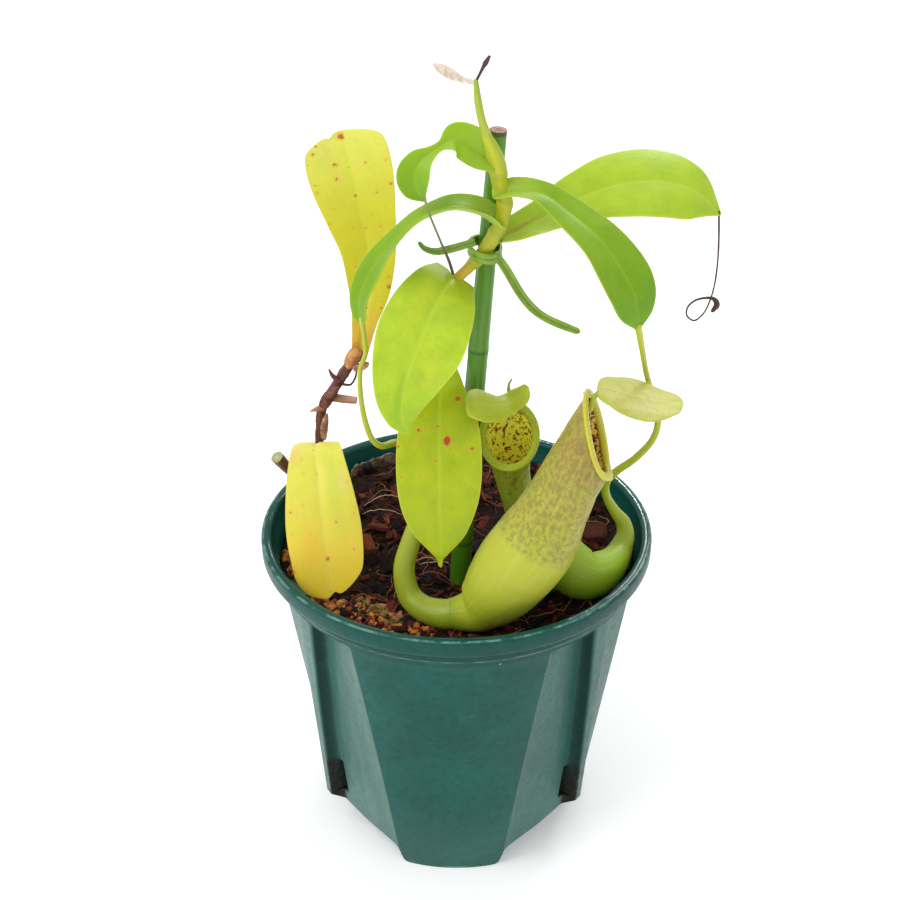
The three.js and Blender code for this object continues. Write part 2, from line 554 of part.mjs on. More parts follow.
const tailStrip = ({ stations }) => {
  const { points } = sampled(stations, (stations.length - 1) * 2);
  return band({ path: points.map((p) => [p.x, p.y, p.z]), width: 2.2, thickness: 0.7, tall: [0.4, 0.3, 1] });
};

// Dry remains
const paperyLeaf = {
  tipRound: 0.1, thickness: 0.7, steps: 8, spans: 4, face: [[0.3, -1, 0.6], [0.3, -1, 0.6]],
  rib: [[4.2, -14, 221.2, 0.8], [1, -14, 222.2, 1.2], [-1.7, -14, 223.7, 1.5], [-4.1, -14, 225, 1.3], [-5.7, -14, 226, 0.6]],
};
const stemSheath = {
  tipRound: 0.1, cup: -0.4, steps: 6, spans: 4, thickness: 0.8, face: [[0.2, -1, 0.2], [0.2, -1, 0.2]],
  rib: [[-30, 17.9, 124.5, 1.5], [-27.5, 17.9, 128.5, 2.2], [-25, 18.2, 132.5, 1.8]],
};
const huskStrip = {
  rings: { radius: 45.6, from: 111, to: 131, low: 80, high: 87 },
};

// Bark on the surface: [x, y, half length, half width, half height, turn about z]
const barkPieces = [
  [38, 8, 6, 3.2, 2.2, 70], [6, -42, 4.5, 2.4, 1.8, 20], [-16, -38.5, 3.6, 2.6, 2, 110],
  [-25, -31.5, 3, 2.2, 1.6, 40], [27, 16, 5, 2.6, 2, 15], [-15, 27, 6, 3, 2.2, 60],
  [23, -32, 3.4, 2.4, 1.6, 140], [-24, 4, 5, 2.4, 1.7, 95], [6, 33, 6, 3.4, 2.2, 170], [17, 26, 4, 2.6, 1.8, 35],
];
const barkShapes = barkPieces.map(([x, y, long, wide, high, turn], i) => ({
  at: [x, y, mixHeight(x, y) + high * 0.35], size: [long, wide, high], turn: [8 * Math.sin(i * 2.1), 10 * Math.cos(i), turn],
}));

function huskSolid(grow = 0) {
  const { radius, from, to, low, high } = huskStrip.rings;
  const rings = [];
  for (let i = 0; i <= 8; i++) {
    const angle = radians(mixed(from, to, i / 8));
    const bow = 1.2 * Math.sin((Math.PI * i) / 8);
    const inner = radius - 0.6 - bow - grow;
    const outer = radius + 0.6 - bow + grow;
    rings.push([polar(inner, angle, low - grow), polar(outer, angle, low - grow),
      polar(outer, angle, high + grow), polar(inner, angle, high + grow)]);
  }
  return loft(rings);
}

// Assembly: each later piece is trimmed by the pieces it grows from or leans on
const grownStake = stalk(stake, touchGap);
const grownStem = stalk(mainStem, touchGap);
const grownOldStem = stalk(oldStem, touchGap);
const stemMesh = cut(stalk(mainStem), [grownStake]);

place("pot", potBody(), "potPlastic");
place("bamboo_stake", stalk(stake), "bamboo");
place("main_stem", stemMesh, "stemGreen");
place("growing_tip", cut(stalk(growingTip), [grownStem]), "leafLime");
place("dry_tip", cut(stalk({ ...dryTip, sides: 6 }), [stalk(growingTip, touchGap)]), "dryBrown");
place("dry_papery_leaf", cut(blade(paperyLeaf), [stalk(growingTip, touchGap),
  stalk(dryTip, touchGap)]), "papery");
place("old_stem", stalk(oldStem), "dryBrown");
place("old_stem_stub", cut(stalk(oldStemStub), [grownOldStem]), "dryBrown");
place("cut_side_stem", cut(stalk(cutSideStem), [grownOldStem]), "bark");

const tie = join([band(tieBand), ...tieTails.map(tailStrip)]);
place("stake_tie", cut(tie, [grownStake, grownStem]), "tie");

for (const [name, shape] of Object.entries(leaves)) {
  place(name, cut(blade(shape), [grownStem, grownOldStem, stalk(stake, touchGap)]), shape.look);
}
const grownLeaf = (name) => blade(leaves[name], touchGap);
place("old_stem_sheath", cut(blade(stemSheath), [grownOldStem, grownLeaf("leaf_yellow_upright")]), "papery");
place("tendril_left", cut(stalk(tendrilLeft), [grownLeaf("leaf_left_arching")]), "stemGreen");
place("tendril_right", cut(stalk(tendrilRight), [grownLeaf("leaf_right_front")]), "stemGreen");
place("dry_tendril_right", cut(stalk(dryTendrilRight), [grownLeaf("leaf_right_back")]), "dryBrown");
place("dry_tendril_upper", cut(stalk(dryTendrilUpper), [grownLeaf("leaf_upper_left"), grownStem]), "dryBrown");
place("large_pitcher", cut(pitcher(largePitcher), [stalk(tendrilLeft, touchGap)]), "pitcherLime");
place("small_pitcher", cut(pitcher(smallPitcher), [stalk(tendrilRight, touchGap), grownStake]), "pitcherLime");
place("large_pitcher_lid", cut(blade(lids.large_pitcher_lid), [pitcher(largePitcher, touchGap)]), "lidPale");
place("small_pitcher_lid", cut(blade(lids.small_pitcher_lid), [pitcher(smallPitcher, touchGap), grownStake]), "lidPale");

place("husk_strip", huskSolid(), "husk");
barkShapes.forEach((shape, i) => place(`bark_${i + 1}`, lump(shape), "bark"));
const hollows = [
  grownStake, grownStem, grownOldStem, stalk(cutSideStem, touchGap), stalk(tendrilLeft, touchGap),
  pitcher(largePitcher, touchGap), pitcher(smallPitcher, touchGap), stalk(tendrilRight, touchGap),
  grownLeaf("leaf_yellow_drooping"), huskSolid(touchGap), ...barkShapes.map((shape) => lump(shape, touchGap)),
];
place("potting_mix", pottingMix(hollows), "mixBrown");

// The origin is the middle of the finished plant's box, on its underside
const potted = new THREE.Group();
const footprint = new THREE.Box3().setFromObject(plant).getCenter(new THREE.Vector3());
plant.position.set(-footprint.x, -footprint.y, 0);
potted.add(plant);

export default potted;
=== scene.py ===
import math
import bpy
import numpy as np
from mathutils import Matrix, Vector


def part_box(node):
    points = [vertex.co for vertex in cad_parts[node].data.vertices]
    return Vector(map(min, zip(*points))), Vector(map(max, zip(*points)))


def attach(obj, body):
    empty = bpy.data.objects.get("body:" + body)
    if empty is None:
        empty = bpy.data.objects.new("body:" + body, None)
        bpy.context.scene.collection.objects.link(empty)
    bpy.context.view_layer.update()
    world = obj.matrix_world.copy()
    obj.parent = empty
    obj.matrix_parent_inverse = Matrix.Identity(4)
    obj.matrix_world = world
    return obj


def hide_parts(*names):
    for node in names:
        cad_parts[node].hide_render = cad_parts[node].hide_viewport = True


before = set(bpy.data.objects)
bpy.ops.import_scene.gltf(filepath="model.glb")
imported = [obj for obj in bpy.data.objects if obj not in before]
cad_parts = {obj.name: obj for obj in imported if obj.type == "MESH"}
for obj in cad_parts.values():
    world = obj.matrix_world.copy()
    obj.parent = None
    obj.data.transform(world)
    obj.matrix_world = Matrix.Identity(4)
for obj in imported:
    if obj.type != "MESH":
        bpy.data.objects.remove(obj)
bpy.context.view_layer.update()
print("frame loaded,", len(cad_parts), "pieces")

# Lengths are millimetres from the pot's axis, in the frame's directions. Meshes are made in metres.
mm = 0.001
rimRadius = 52.5
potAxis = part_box("pot")[0].x / mm + rimRadius
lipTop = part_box("pot")[1].z / mm


# Catmull-Rom through the stations, read at shares 0 to 1, with mirrored ends.
def smoothPath(stations, shares):
    p = np.array(stations, float)
    n = len(p)
    t = np.clip(np.asarray(shares, float), 0, 1) * (n - 1)
    i = np.minimum(t.astype(int), n - 2)
    f = (t - i)[:, None]
    q = np.vstack([2 * p[0] - p[1], p, 2 * p[-1] - p[-2]])
    a, b, c, d = q[i], q[i + 1], q[i + 2], q[i + 3]
    return 0.5 * (2 * b + (c - a) * f + (2 * a - 5 * b + 4 * c - d) * f**2 + (3 * b - a - 3 * c + d) * f**3)


def unit(v):
    return v / np.maximum(np.linalg.norm(v, axis=-1, keepdims=True), 1e-9)


def dot(a, b):
    return np.sum(a * b, axis=-1, keepdims=True)


def between(low, high, share):
    return low + (high - low) * share


def smoothStep(low, high, x):
    t = np.clip((x - low) / (high - low), 0, 1)
    return t * t * (3 - 2 * t)


# Triples from three arrays that are first spread to one shape.
def stacked(x, y, z):
    return np.stack(np.broadcast_arrays(x, y, z), -1)


# Points at a distance and an angle about the z axis.
def polar(radius, angle, z=0):
    return stacked(radius * np.cos(angle), radius * np.sin(angle), z)


def lengthsAlong(points):
    return np.concatenate([[0], np.cumsum(np.linalg.norm(np.diff(points, axis=0), axis=1))])


# Smooth value noise: random heights on a whole-number lattice, blended by cubic steps.
def valueNoise(points, seed=0):
    cell = np.floor(points).astype(np.int64)
    part = points - cell
    part = part * part * (3 - 2 * part)
    total = np.zeros(points.shape[:-1])
    for corner in np.ndindex(2, 2, 2):
        c = cell + np.array(corner)
        h = (c[..., 0] * 73856093) ^ (c[..., 1] * 19349663) ^ (c[..., 2] * 83492791) ^ (seed * 2654435)
        h = ((h ^ (h >> 13)) * 1274126177) & 0x7FFFFFFF
        value = ((h ^ (h >> 15)) & 0xFFFF) / 65535.0
        weight = np.prod(np.where(np.array(corner) == 1, part, 1 - part), axis=-1)
        total = total + value * weight
    return total * 2 - 1


def layeredNoise(points, seed=0, layers=3):
    return sum(valueNoise(points * 2.0**k, seed + k) / 2.0**k for k in range(layers))


# Direction, side and third axis along a line of points, carried along without twist.
def carriedAxes(points):
    along = unit(np.gradient(points, axis=0))
    start = np.array([0, 0, 1.0]) if abs(along[0, 2]) < 0.9 else np.array([0, 1.0, 0])
    side = np.zeros_like(points)
    side[0] = unit(np.cross(along[0], start))
    for i in range(1, len(points)):
        side[i] = unit(side[i - 1] - along[i] * np.dot(side[i - 1], along[i]))
    return along, side, np.cross(along, side)


# One mesh from closed grids of points, shaped (rows, columns, 3) or (pieces, rows, columns, 3).
# Columns close on themselves, and the end rows are closed by a face, or rows join when looped.
# marks are numbers or triples on the same grid, kept as point attributes.
def gridMesh(name, points, marks=None, looped=False):
    grids = points if points.ndim == 4 else points[None]
    count, rows, columns = grids.shape[:3]
    i, j = np.meshgrid(np.arange(rows if looped else rows - 1), np.arange(columns), indexing="ij")
    k, after = (j + 1) % columns, (i + 1) % rows
    quads = np.stack([i * columns + j, i * columns + k, after * columns + k, after * columns + j], -1)
    first = np.arange(count)[:, None, None] * rows * columns
    faces = (quads.reshape(1, -1, 4) + first).reshape(-1, 4).tolist()
    if not looped:
        ring = np.arange(columns)
        faces += (ring[::-1][None] + first[:, 0]).tolist()
        faces += (ring[None] + (rows - 1) * columns + first[:, 0]).tolist()
    mesh = bpy.data.meshes.new(name)
    mesh.from_pydata(((grids.reshape(-1, 3) + [potAxis, 0, 0]) * mm).tolist(), [], faces)
    for key, values in (marks or {}).items():
        values = np.asarray(values, np.float32)
        triple = values.ndim > points.ndim - 1
        mark = mesh.attributes.new(key, "FLOAT_VECTOR" if triple else "FLOAT", "POINT")
        mark.data.foreach_set("vector" if triple else "value", values.ravel())
    mesh.update()
    corner = grids[:, :-1, :].reshape(count, -1, 3)
    rolled = np.roll(grids, -1, 2)
    p, q, r = grids[:, :-1], rolled[:, :-1], grids[:, 1:]
    if np.einsum("...i,...i", p - corner[:, None, :1], np.cross(q - p, r - p)).sum() < 0:
        mesh.flip_normals()
    mesh.polygons.foreach_set("use_smooth", np.ones(len(mesh.polygons), bool))
    return mesh


def linked(name, data):
    made = bpy.data.objects.new(name, data)
    bpy.context.scene.collection.objects.link(made)
    return made


# nodes are the solids whose place the piece takes.
def place(name, mesh, material, slot, *nodes, crisp=None):
    piece = linked(name, mesh)
    mesh.materials.append(material)
    if crisp:
        mesh.set_sharp_from_angle(angle=math.radians(crisp))
    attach(piece, "root")
    nodes = [node for node in nodes if node]
    if nodes:
        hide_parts(*nodes)
    return piece


# Leaf blade as a closed shell. Across the rib v runs from -1 to 1 on the upper face and back
# on the lower one; the section rises by fold * |v| + cup * v^2 times the half width, and the
# half width shrinks as a quarter ellipse over the last part of the length. A notch draws the
# edge in by a bell round one place across, and slant lets the tip run longer on one side.
def bladeShell(leaf):
    rows, across = leaf.get("rows", 160), leaf.get("across", 36)
    share = 1 - (1 - np.linspace(0, 1, rows)) ** 1.5
    rib = smoothPath(leaf["rib"], share)
    centre, half = rib[:, :3], rib[:, 3]
    tip = np.clip((leaf["tipRound"] - (1 - share)) / leaf["tipRound"], 0, 1)
    half = half * np.sqrt(np.clip(1 - tip**2, 0, 1))
    if leaf.get("baseRound"):
        base = np.clip((leaf["baseRound"] - share) / leaf["baseRound"], 0, 1)
        half = half * np.sqrt(np.clip(1 - base**2, 0, 1))
    half = np.maximum(half, 0.1)[:, None]
    along = unit(np.gradient(centre, axis=0))
    side = unit(np.cross(along, smoothPath(leaf["face"], share)))
    up = unit(np.cross(side, along))
    length = lengthsAlong(centre)[:, None]
    cup = smoothPath([[c] for c in leaf["cup"]], share) if isinstance(leaf["cup"], list) else leaf["cup"]
    v = np.sin(np.linspace(-0.5, 0.5, across) * math.pi)
    v = np.concatenate([v, v[::-1]])[None]
    upper = np.concatenate([np.ones(across), -np.ones(across)])[None]
    share = share[:, None]
    x = half * v
    bend = leaf["fold"] * (np.sqrt(v**2 + 0.004) - 0.063) + cup * v**2
    ripple = leaf.get("wave", 0.25) * np.abs(v) ** 3 * smoothStep(0.1, 0.3, share)
    ripple = ripple * np.sin(length / leaf.get("waveLength", 6.5) + 1.7 * np.sign(v))
    full = np.minimum(1, half / 1.6)
    thick = leaf.get("thickness", 0.7) * full * (0.5 - 0.3 * np.abs(v) ** 4)
    ribFade = full * (1 - 0.75 * share)
    groove = leaf.get("groove", 0.3) * np.exp(-((x / 0.5) ** 2)) * ribFade
    keel = leaf.get("keel", 0.6) * np.exp(-((x / 0.75) ** 2)) * ribFade
    height = half * bend + ripple + np.where(upper > 0, thick - groove, -thick - keel)
    points = centre[:, None] + x[..., None] * side[:, None] + height[..., None] * up[:, None]
    for end, near in (("notch", smoothStep(0.8, 1, share)), ("baseNotch", -smoothStep(0.15, 0, share))):
        depth, at, wide = leaf.get(end, (0, 0, 1))
        points = points - (depth * near * np.exp(-(((x - at) / wide) ** 2)))[..., None] * along[:, None]
    points = points + (leaf.get("slant", 0) * x * smoothStep(0.8, 1, share))[..., None] * along[:, None]
    if "crumple" in leaf:
        crease = layeredNoise(points * leaf.get("creaseScale", 0.35), 5) * leaf["crumple"]
        points = points + crease[..., None] * up[:, None]
    return points, {"place": stacked(length, x, share), "edge": stacked(v, upper, half)}


# Round stalk: circles carried along the path, with their plane turned to the mouth's near the
# end. relief swells the radius by a share, and each end is rounded over or cut off square.
def stalkRings(stalk):
    rows, sides = stalk.get("rows", 120), stalk.get("sides", 28)
    share = np.linspace(0, 1, rows)
    start, end = stalk.get("span", (0, 1))
    path = smoothPath(stalk["stations"], between(start, end, share))
    centre, radius = path[:, :3], path[:, 3]
    along, side, other = carriedAxes(centre)
    angle = np.linspace(0, 2 * math.pi, sides, endpoint=False)[None]
    radial = np.cos(angle)[..., None] * side[:, None] + np.sin(angle)[..., None] * other[:, None]
    length = lengthsAlong(centre)[:, None]
    aim = np.array(stalk.get("mouth", stalk.get("aim", [0, 0, 1])), float)
    turned = angle - math.atan2(np.dot(other[-1], aim), np.dot(side[-1], aim))
    turned = (turned + math.pi) % (2 * math.pi) - math.pi
    relief = stalk["relief"](length, turned, share[:, None]) if "relief" in stalk else 0
    offset = radial * (radius[:, None] * (1 + relief))[..., None]
    if "mouth" in stalk:
        turn = smoothStep(stalk.get("rampFrom", 0.55), 1, share)[:, None]
        plane = unit(between(along, unit(aim), turn))
        slide = -dot(offset, plane[:, None]) / dot(along, plane)[:, None]
        offset = offset + slide * along[:, None]
    return centre, offset, along, stacked(length, turned, share[:, None])


# A sawn end: the shares of the radius at its rings, and how far they stand out.
cutEnd = np.array([[0.97, 0.9, 0.75, 0.5, 0.3, 0.15, 0.02], [0.03, 0.05, 0.05, 0.04, 0.03, 0.02, 0.02]])


def stalkShell(stalk):
    centre, offset, along, where = stalkRings(stalk)
    rows = [centre[:, None] + offset]
    places = [where]
    ends = stalk.get("ends", ["round", "round"])
    for row, sign, kind in ((0, -1, ends[0]), (-1, 1, ends[1])):
        turn = np.linspace(0, math.pi / 2, 8)[1:]
        scale, ahead = np.maximum(np.cos(turn), 0.02), np.sin(turn) * 0.9
        if kind == "cut":
            scale, ahead = cutEnd
        reach = ahead * np.linalg.norm(offset[row], axis=-1).mean() * sign
        cap = centre[row] + offset[row][None] * scale[:, None, None] + reach[:, None, None] * along[row]
        mark = np.repeat(where[row][None], len(scale), 0)
        mark[..., 2] += sign * (1 - scale)[:, None]
        rows = rows + [cap] if sign > 0 else [cap[::-1]] + rows
        places = places + [mark] if sign > 0 else [mark[::-1]] + places
    return np.concatenate(rows), {"place": np.concatenate(places)}


# Closed lumps: balls pushed towards boxes, stretched, roughened by noise and turned.
# Each of the arrays has one row for each lump.
def lumpCloud(centres, sizes, turns, seed, rows, sides, rough=0.3, squareness=0.55):
    count = len(centres)
    down = np.linspace(0.12, math.pi - 0.12, rows)[:, None]
    about = np.linspace(0, 2 * math.pi, sides, endpoint=False)[None]
    ball = polar(np.sin(down), about, np.cos(down))
    boxed = np.sign(ball) * np.abs(ball) ** squareness
    boxed = boxed / np.abs(boxed).max()
    drift = np.arange(count)[:, None, None, None] * 17.3
    dent = layeredNoise(ball[None] * 1.4 + drift, seed, 2)
    points = boxed[None] * (1 + rough * dent[..., None]) * np.asarray(sizes)[:, None, None]
    a, b, c = np.asarray(turns).T
    zero, one = np.zeros(count), np.ones(count)
    aboutX = np.array([[one, zero, zero], [zero, np.cos(a), -np.sin(a)], [zero, np.sin(a), np.cos(a)]])
    aboutY = np.array([[np.cos(b), zero, np.sin(b)], [zero, one, zero], [-np.sin(b), zero, np.cos(b)]])
    aboutZ = np.array([[np.cos(c), -np.sin(c), zero], [np.sin(c), np.cos(c), zero], [zero, zero, one]])
    whole = np.einsum("ijn,jkn,kln->nil", aboutZ, aboutY, aboutX)
    return np.einsum("nij,nrsj->nrsi", whole, points) + np.asarray(centres)[:, None, None]


# Thin threads: each starts at a point, walks on with a slowly turning heading, and is a
# four-sided tube that tapers to its ends. lift adds an arch between its two ends.
def threadCloud(starts, headings, lengths, radii, lift, ground, seed, steps=16, wander=0.35):
    dice = np.random.default_rng(seed)
    count = len(starts)
    share = np.linspace(0, 1, steps)[None]
    turn = np.cumsum(dice.normal(0, wander, (count, steps)), 1) + np.asarray(headings)[:, None]
    step = np.asarray(lengths)[:, None] / (steps - 1)
    x = starts[:, :1] + np.cumsum(np.cos(turn) * step, 1)
    y = starts[:, 1:2] + np.cumsum(np.sin(turn) * step, 1)
    wobble = dice.normal(0, 0.12, (count, steps))
    arch = np.asarray(lift)[:, None] * np.sin(share * math.pi)
    z = ground(x, y) + np.asarray(radii)[:, None] + arch + wobble
    path = np.stack([x, y, z], -1)
    along = unit(np.gradient(path, axis=1))
    side = unit(np.cross(along, [0, 0, 1.0]))
    other = np.cross(side, along)
    angle = np.arange(4) * math.pi / 2
    radius = np.asarray(radii)[:, None] * (0.35 + 0.65 * np.sin(share * math.pi) ** 0.5)
    ring = np.cos(angle)[:, None] * side[:, :, None] + np.sin(angle)[:, None] * other[:, :, None]
    return path[:, :, None] + ring * radius[..., None, None]


# A number, colour or vector that varies over a surface. Sums and products of it are Math nodes.
class Varying:
    def __init__(self, socket):
        self.socket, self.tree = socket, socket.id_data

    def __abs__(self):
        return maths("ABSOLUTE", self)


signs = {"add": "ADD", "sub": "SUBTRACT", "mul": "MULTIPLY", "truediv": "DIVIDE", "pow": "POWER"}
for sign, operation in signs.items():
    setattr(Varying, f"__{sign}__", lambda self, other, kind=operation: maths(kind, self, other))
    setattr(Varying, f"__r{sign}__", lambda self, other, kind=operation: maths(kind, other, self))


def feed(node, inputs):
    for key, value in inputs.items():
        if isinstance(value, Varying):
            value.tree.links.new(value.socket, node.inputs[key])
        else:
            node.inputs[key].default_value = value


# Gives the new node's outputs, by their order and by their names.
def addNode(tree, kind, inputs=None, **settings):
    node = tree.nodes.new(kind)
    for key, value in settings.items():
        setattr(node, key, value)
    feed(node, inputs or {})
    outlets = {key: Varying(socket) for key, socket in enumerate(node.outputs)}
    return outlets | {socket.name: Varying(socket) for socket in node.outputs}


def treeOf(*values):
    return next(value.tree for value in values if isinstance(value, Varying))


def maths(kind, *values, clamp=False):
    return addNode(treeOf(*values), "ShaderNodeMath", dict(enumerate(values)), operation=kind,
                   use_clamp=clamp)[0]


def blended(factor, first, second, mode="MIX"):
    inputs = {0: factor, 6: first, 7: second}
    return addNode(treeOf(factor, first, second), "ShaderNodeMix", inputs, data_type="RGBA",
                   blend_type=mode)[2]


def ranged(value, fromLow, fromHigh, toLow=0.0, toHigh=1.0, kind="SMOOTHSTEP"):
    return addNode(value.tree, "ShaderNodeMapRange", {
        "Value": value, "From Min": fromLow, "From Max": fromHigh, "To Min": toLow, "To Max": toHigh},
        interpolation_type=kind)[0]


def noise(vector, scale, detail=3.0, roughness=0.55, distortion=0.0):
    return addNode(vector.tree, "ShaderNodeTexNoise", {
        "Vector": vector, "Scale": scale, "Detail": detail, "Roughness": roughness,
        "Distortion": distortion})[0]


def parts(vector):
    made = addNode(vector.tree, "ShaderNodeSeparateXYZ", {0: vector})
    return [made[i] for i in range(3)]


def joined(x, y, z):
    return addNode(treeOf(x, y, z), "ShaderNodeCombineXYZ", {0: x, 1: y, 2: z})[0]


def stretched(vector, scale, shift=(0, 0, 0), turn=(0, 0, 0)):
    return addNode(vector.tree, "ShaderNodeMapping", {
        "Vector": vector, "Scale": scale, "Location": shift, "Rotation": turn})[0]


def rgb(r, g, b):
    linear = [((c / 255 + 0.055) / 1.055) ** 2.4 if c > 10 else c / 255 / 12.92 for c in (r, g, b)]
    return (*linear, 1.0)


# Object coordinates in millimetres from the pot's axis.
def objectMm(tree):
    spot = addNode(tree, "ShaderNodeTexCoord")["Object"]
    return stretched(spot, (1000, 1000, 1000), (-potAxis, 0, 0))


def markOf(tree, name):
    return addNode(tree, "ShaderNodeAttribute", attribute_name=name)["Vector"]


# Inputs are named with their starting values: None for a vector and four numbers for a colour.
def newGroup(name, takes, gives):
    tree = bpy.data.node_groups.new(name, "ShaderNodeTree")
    for key, value in takes.items():
        kind = "Vector" if value is None else "Color" if isinstance(value, tuple) else "Float"
        socket = tree.interface.new_socket(key, in_out="INPUT", socket_type="NodeSocket" + kind)
        if value is not None:
            socket.default_value = value
    for key in gives:
        kind = "Color" if key == "Color" else "Float"
        tree.interface.new_socket(key, in_out="OUTPUT", socket_type="NodeSocket" + kind)
    return tree, addNode(tree, "NodeGroupInput"), tree.nodes.new("NodeGroupOutput")


def useGroup(tree, group, **values):
    return addNode(tree, "ShaderNodeGroup", values, node_tree=group)


# Round spots strewn over a surface: nearest-point cells, a share of them holding a spot.
def makeSpotGroup(name, dimensions):
    takes = {"Vector": None, "Cell": 6.0, "Least": 0.3, "Most": 1.0, "Share": 0.5, "Soft": 0.25,
             "Wobble": 0.9}
    tree, given, wanted = newGroup(name, takes, ["Mask", "Ring"])
    wobble = addNode(tree, "ShaderNodeTexNoise", {"Vector": given["Vector"], "Scale": 0.9, "Detail": 2.0})
    moved = addNode(tree, "ShaderNodeVectorMath", {0: wobble["Color"], 3: given["Wobble"]},
                    operation="SCALE")
    moved = addNode(tree, "ShaderNodeVectorMath", {0: given["Vector"], 1: moved[0]}, operation="ADD")
    scale = 1.0 / given["Cell"]
    cells = addNode(tree, "ShaderNodeTexVoronoi", {"Vector": moved[0], "Scale": scale},
                    voronoi_dimensions=dimensions)
    away = cells["Distance"] * given["Cell"]
    split = addNode(tree, "ShaderNodeSeparateColor", {0: cells["Color"]})
    span = given["Most"] - given["Least"]
    radius = split[0] ** 2.0 * span + given["Least"]
    holds = maths("LESS_THAN", split[1], given["Share"])
    inside = radius - away
    soft = maths("DIVIDE", inside, given["Soft"], clamp=True)
    halo = maths("DIVIDE", inside + 0.7, 0.9, clamp=True)
    feed(wanted, {"Mask": soft * holds, "Ring": halo * holds})
    return tree


# Leaf tissue: colour runs from base to tip, paler underneath, with a rib, lengthwise veins,
# slanting side veins and soft blotches.
def makeLeafGroup():
    takes = dict.fromkeys(["Base", "Middle", "Tip", "Rib", "Margin"], (0.3, 0.5, 0.05, 1))
    takes.update(Under=0.25, Blotch=0.5, Veins=0.5)
    tree, given, wanted = newGroup("leafTissue", takes, ["Color", "Height", "Gloss"])
    spot = markOf(tree, "place")
    along, across, share = parts(spot)
    v, upper, half = parts(markOf(tree, "edge"))
    colour = blended(ranged(share, 0.0, 0.3), given["Base"], given["Middle"])
    colour = blended(ranged(share, 0.45, 1.0), colour, given["Tip"])
    cloud = noise(spot, 0.16, 4.0, 0.6)
    fine = noise(spot, 1.6, 3.0, 0.6)
    patch = (cloud - 0.5) * given["Blotch"]
    grain = (fine - 0.5) * 0.16
    tone = patch + grain + 1.0
    hue = patch * -0.06 + 0.5
    colour = addNode(tree, "ShaderNodeHueSaturation", {"Hue": hue, "Value": tone, "Color": colour})[0]
    # lengthwise veins lie at even steps of the half width
    strand = abs(maths("COSINE", v * 16.0))
    lines = strand ** 12.0
    size = abs(across)
    slanted = size * -1.1 + along
    sideVector = joined(slanted * 1.3, across * 0.1, upper)
    sideVeins = ranged(noise(sideVector, 1.0, 2.0, 0.5), 0.42, 0.62)
    veins = (lines * 0.5 + sideVeins * 0.4) * given["Veins"]
    colour = blended(veins * 0.3, colour, given["Rib"])
    margin = ranged((1.0 - abs(v)) * half, 0.45, 0.1)
    colour = blended(margin * 0.5, colour, given["Margin"])
    rib = ranged(size, 0.75, 0.15) * (share * -0.6 + 0.8)
    colour = blended(rib, colour, given["Rib"])
    under = ranged(upper, 0.2, -0.2) * given["Under"]
    pale = blended(0.35, colour, (0.62, 0.72, 0.36, 1))
    feed(wanted, {"Color": blended(under, colour, pale), "Height": veins * -0.05 + fine * 0.03,
                  "Gloss": ranged(cloud, 0.3, 0.7, 0.34, 0.46)})
    return tree


spotGroup = makeSpotGroup("spots", "3D")
flatSpotGroup = makeSpotGroup("flatSpots", "2D")
leafGroup = makeLeafGroup()


def newMaterial(name, **values):
    material = bpy.data.materials.new(name)
    material.use_nodes = True
    tree = material.node_tree
    shader = tree.nodes["Principled BSDF"]
    feed(shader, {key.replace("_", " "): value for key, value in values.items()})
    return material, tree, shader


# Height is in millimetres.
def bumped(shader, height):
    made = addNode(height.tree, "ShaderNodeBump", {"Height": height, "Distance": mm})
    feed(shader, {"Normal": made[0]})


def spotted(colour, vector, spots):
    given = {key.capitalize(): spots[key] for key in ("cell", "least", "most", "share", "soft")}
    seen = useGroup(vector.tree, flatSpotGroup, Vector=vector, **given)
    if "halo" in spots:
        colour = blended(seen["Ring"] * 0.35, colour, spots["halo"])
    return blended(seen["Mask"] * spots.get("depth", 0.9), colour, spots["colour"])


# A soft-edged patch round a place on a leaf, given by its distance along and across the rib.
def patched(colour, vector, patch):
    (x, y), (a, b) = patch["at"], patch["size"]
    shifted = stretched(vector, (1 / a, 1 / b, 0), (-x / a, -y / b, 0))
    rough = noise(vector, patch.get("grain", 0.8), 3.0) * 0.9
    away = addNode(vector.tree, "ShaderNodeVectorMath", {0: shifted}, operation="LENGTH")[1] + rough
    mask = ranged(away, 1.45, 1.45 - patch.get("soft", 0.9), 0.0, patch["depth"])
    return blended(mask, colour, patch["colour"])


pot = {
    "facetTop": 32, "facetBase": 22, "recessTop": 6.2, "recessBase": 1.8, "ridgeTop": 5.8, "ridgeBase": 2,
    "ridgeOutTop": 46.4, "ridgeOutBase": 40.2, "ridgeCurve": 1.8, "ridgeFoot": 12, "collarBottom": 77,
    "topRadius": 48.6, "baseRadius": 37, "collarRadius": 49.3,
    "lipInner": 49.7, "lipDepth": 5, "wall": 1.4, "floorTop": 14, "floorUnder": 12.5, "turn": -2.3,
    "collarEdge": 79.35, "halfSector": 60,  # degrees from the middle of a facet to the middle of a ridge
    "slitWidth": 2.2, "slitTop": 24, "slitInner": 22, "slitOffset": 4.2,
}
# Painted light and shade among these colours: the collar and recess shade colours are painted shade, the
# pale flank colour is a painted sheen, rim is pale wear with a painted highlight, and slit is soil with
# painted shadow.
potLook = {
    "dark": rgb(2, 76, 68), "light": rgb(2, 90, 79), "collar": rgb(0, 56, 48), "mottle": rgb(0, 52, 50),
    "paintedSheen": rgb(150, 186, 174), "paintedSheenDepth": 0.23, "shade": rgb(0, 44, 38), "shadeDepth": 0.88,
    "scuff": rgb(150, 180, 172), "scuffDepth": 0.07, "worn": rgb(150, 182, 170),
    "rim": rgb(140, 190, 176), "speck": rgb(196, 208, 200), "soil": rgb(70, 44, 30),
    "slit": rgb(22, 18, 12),
}
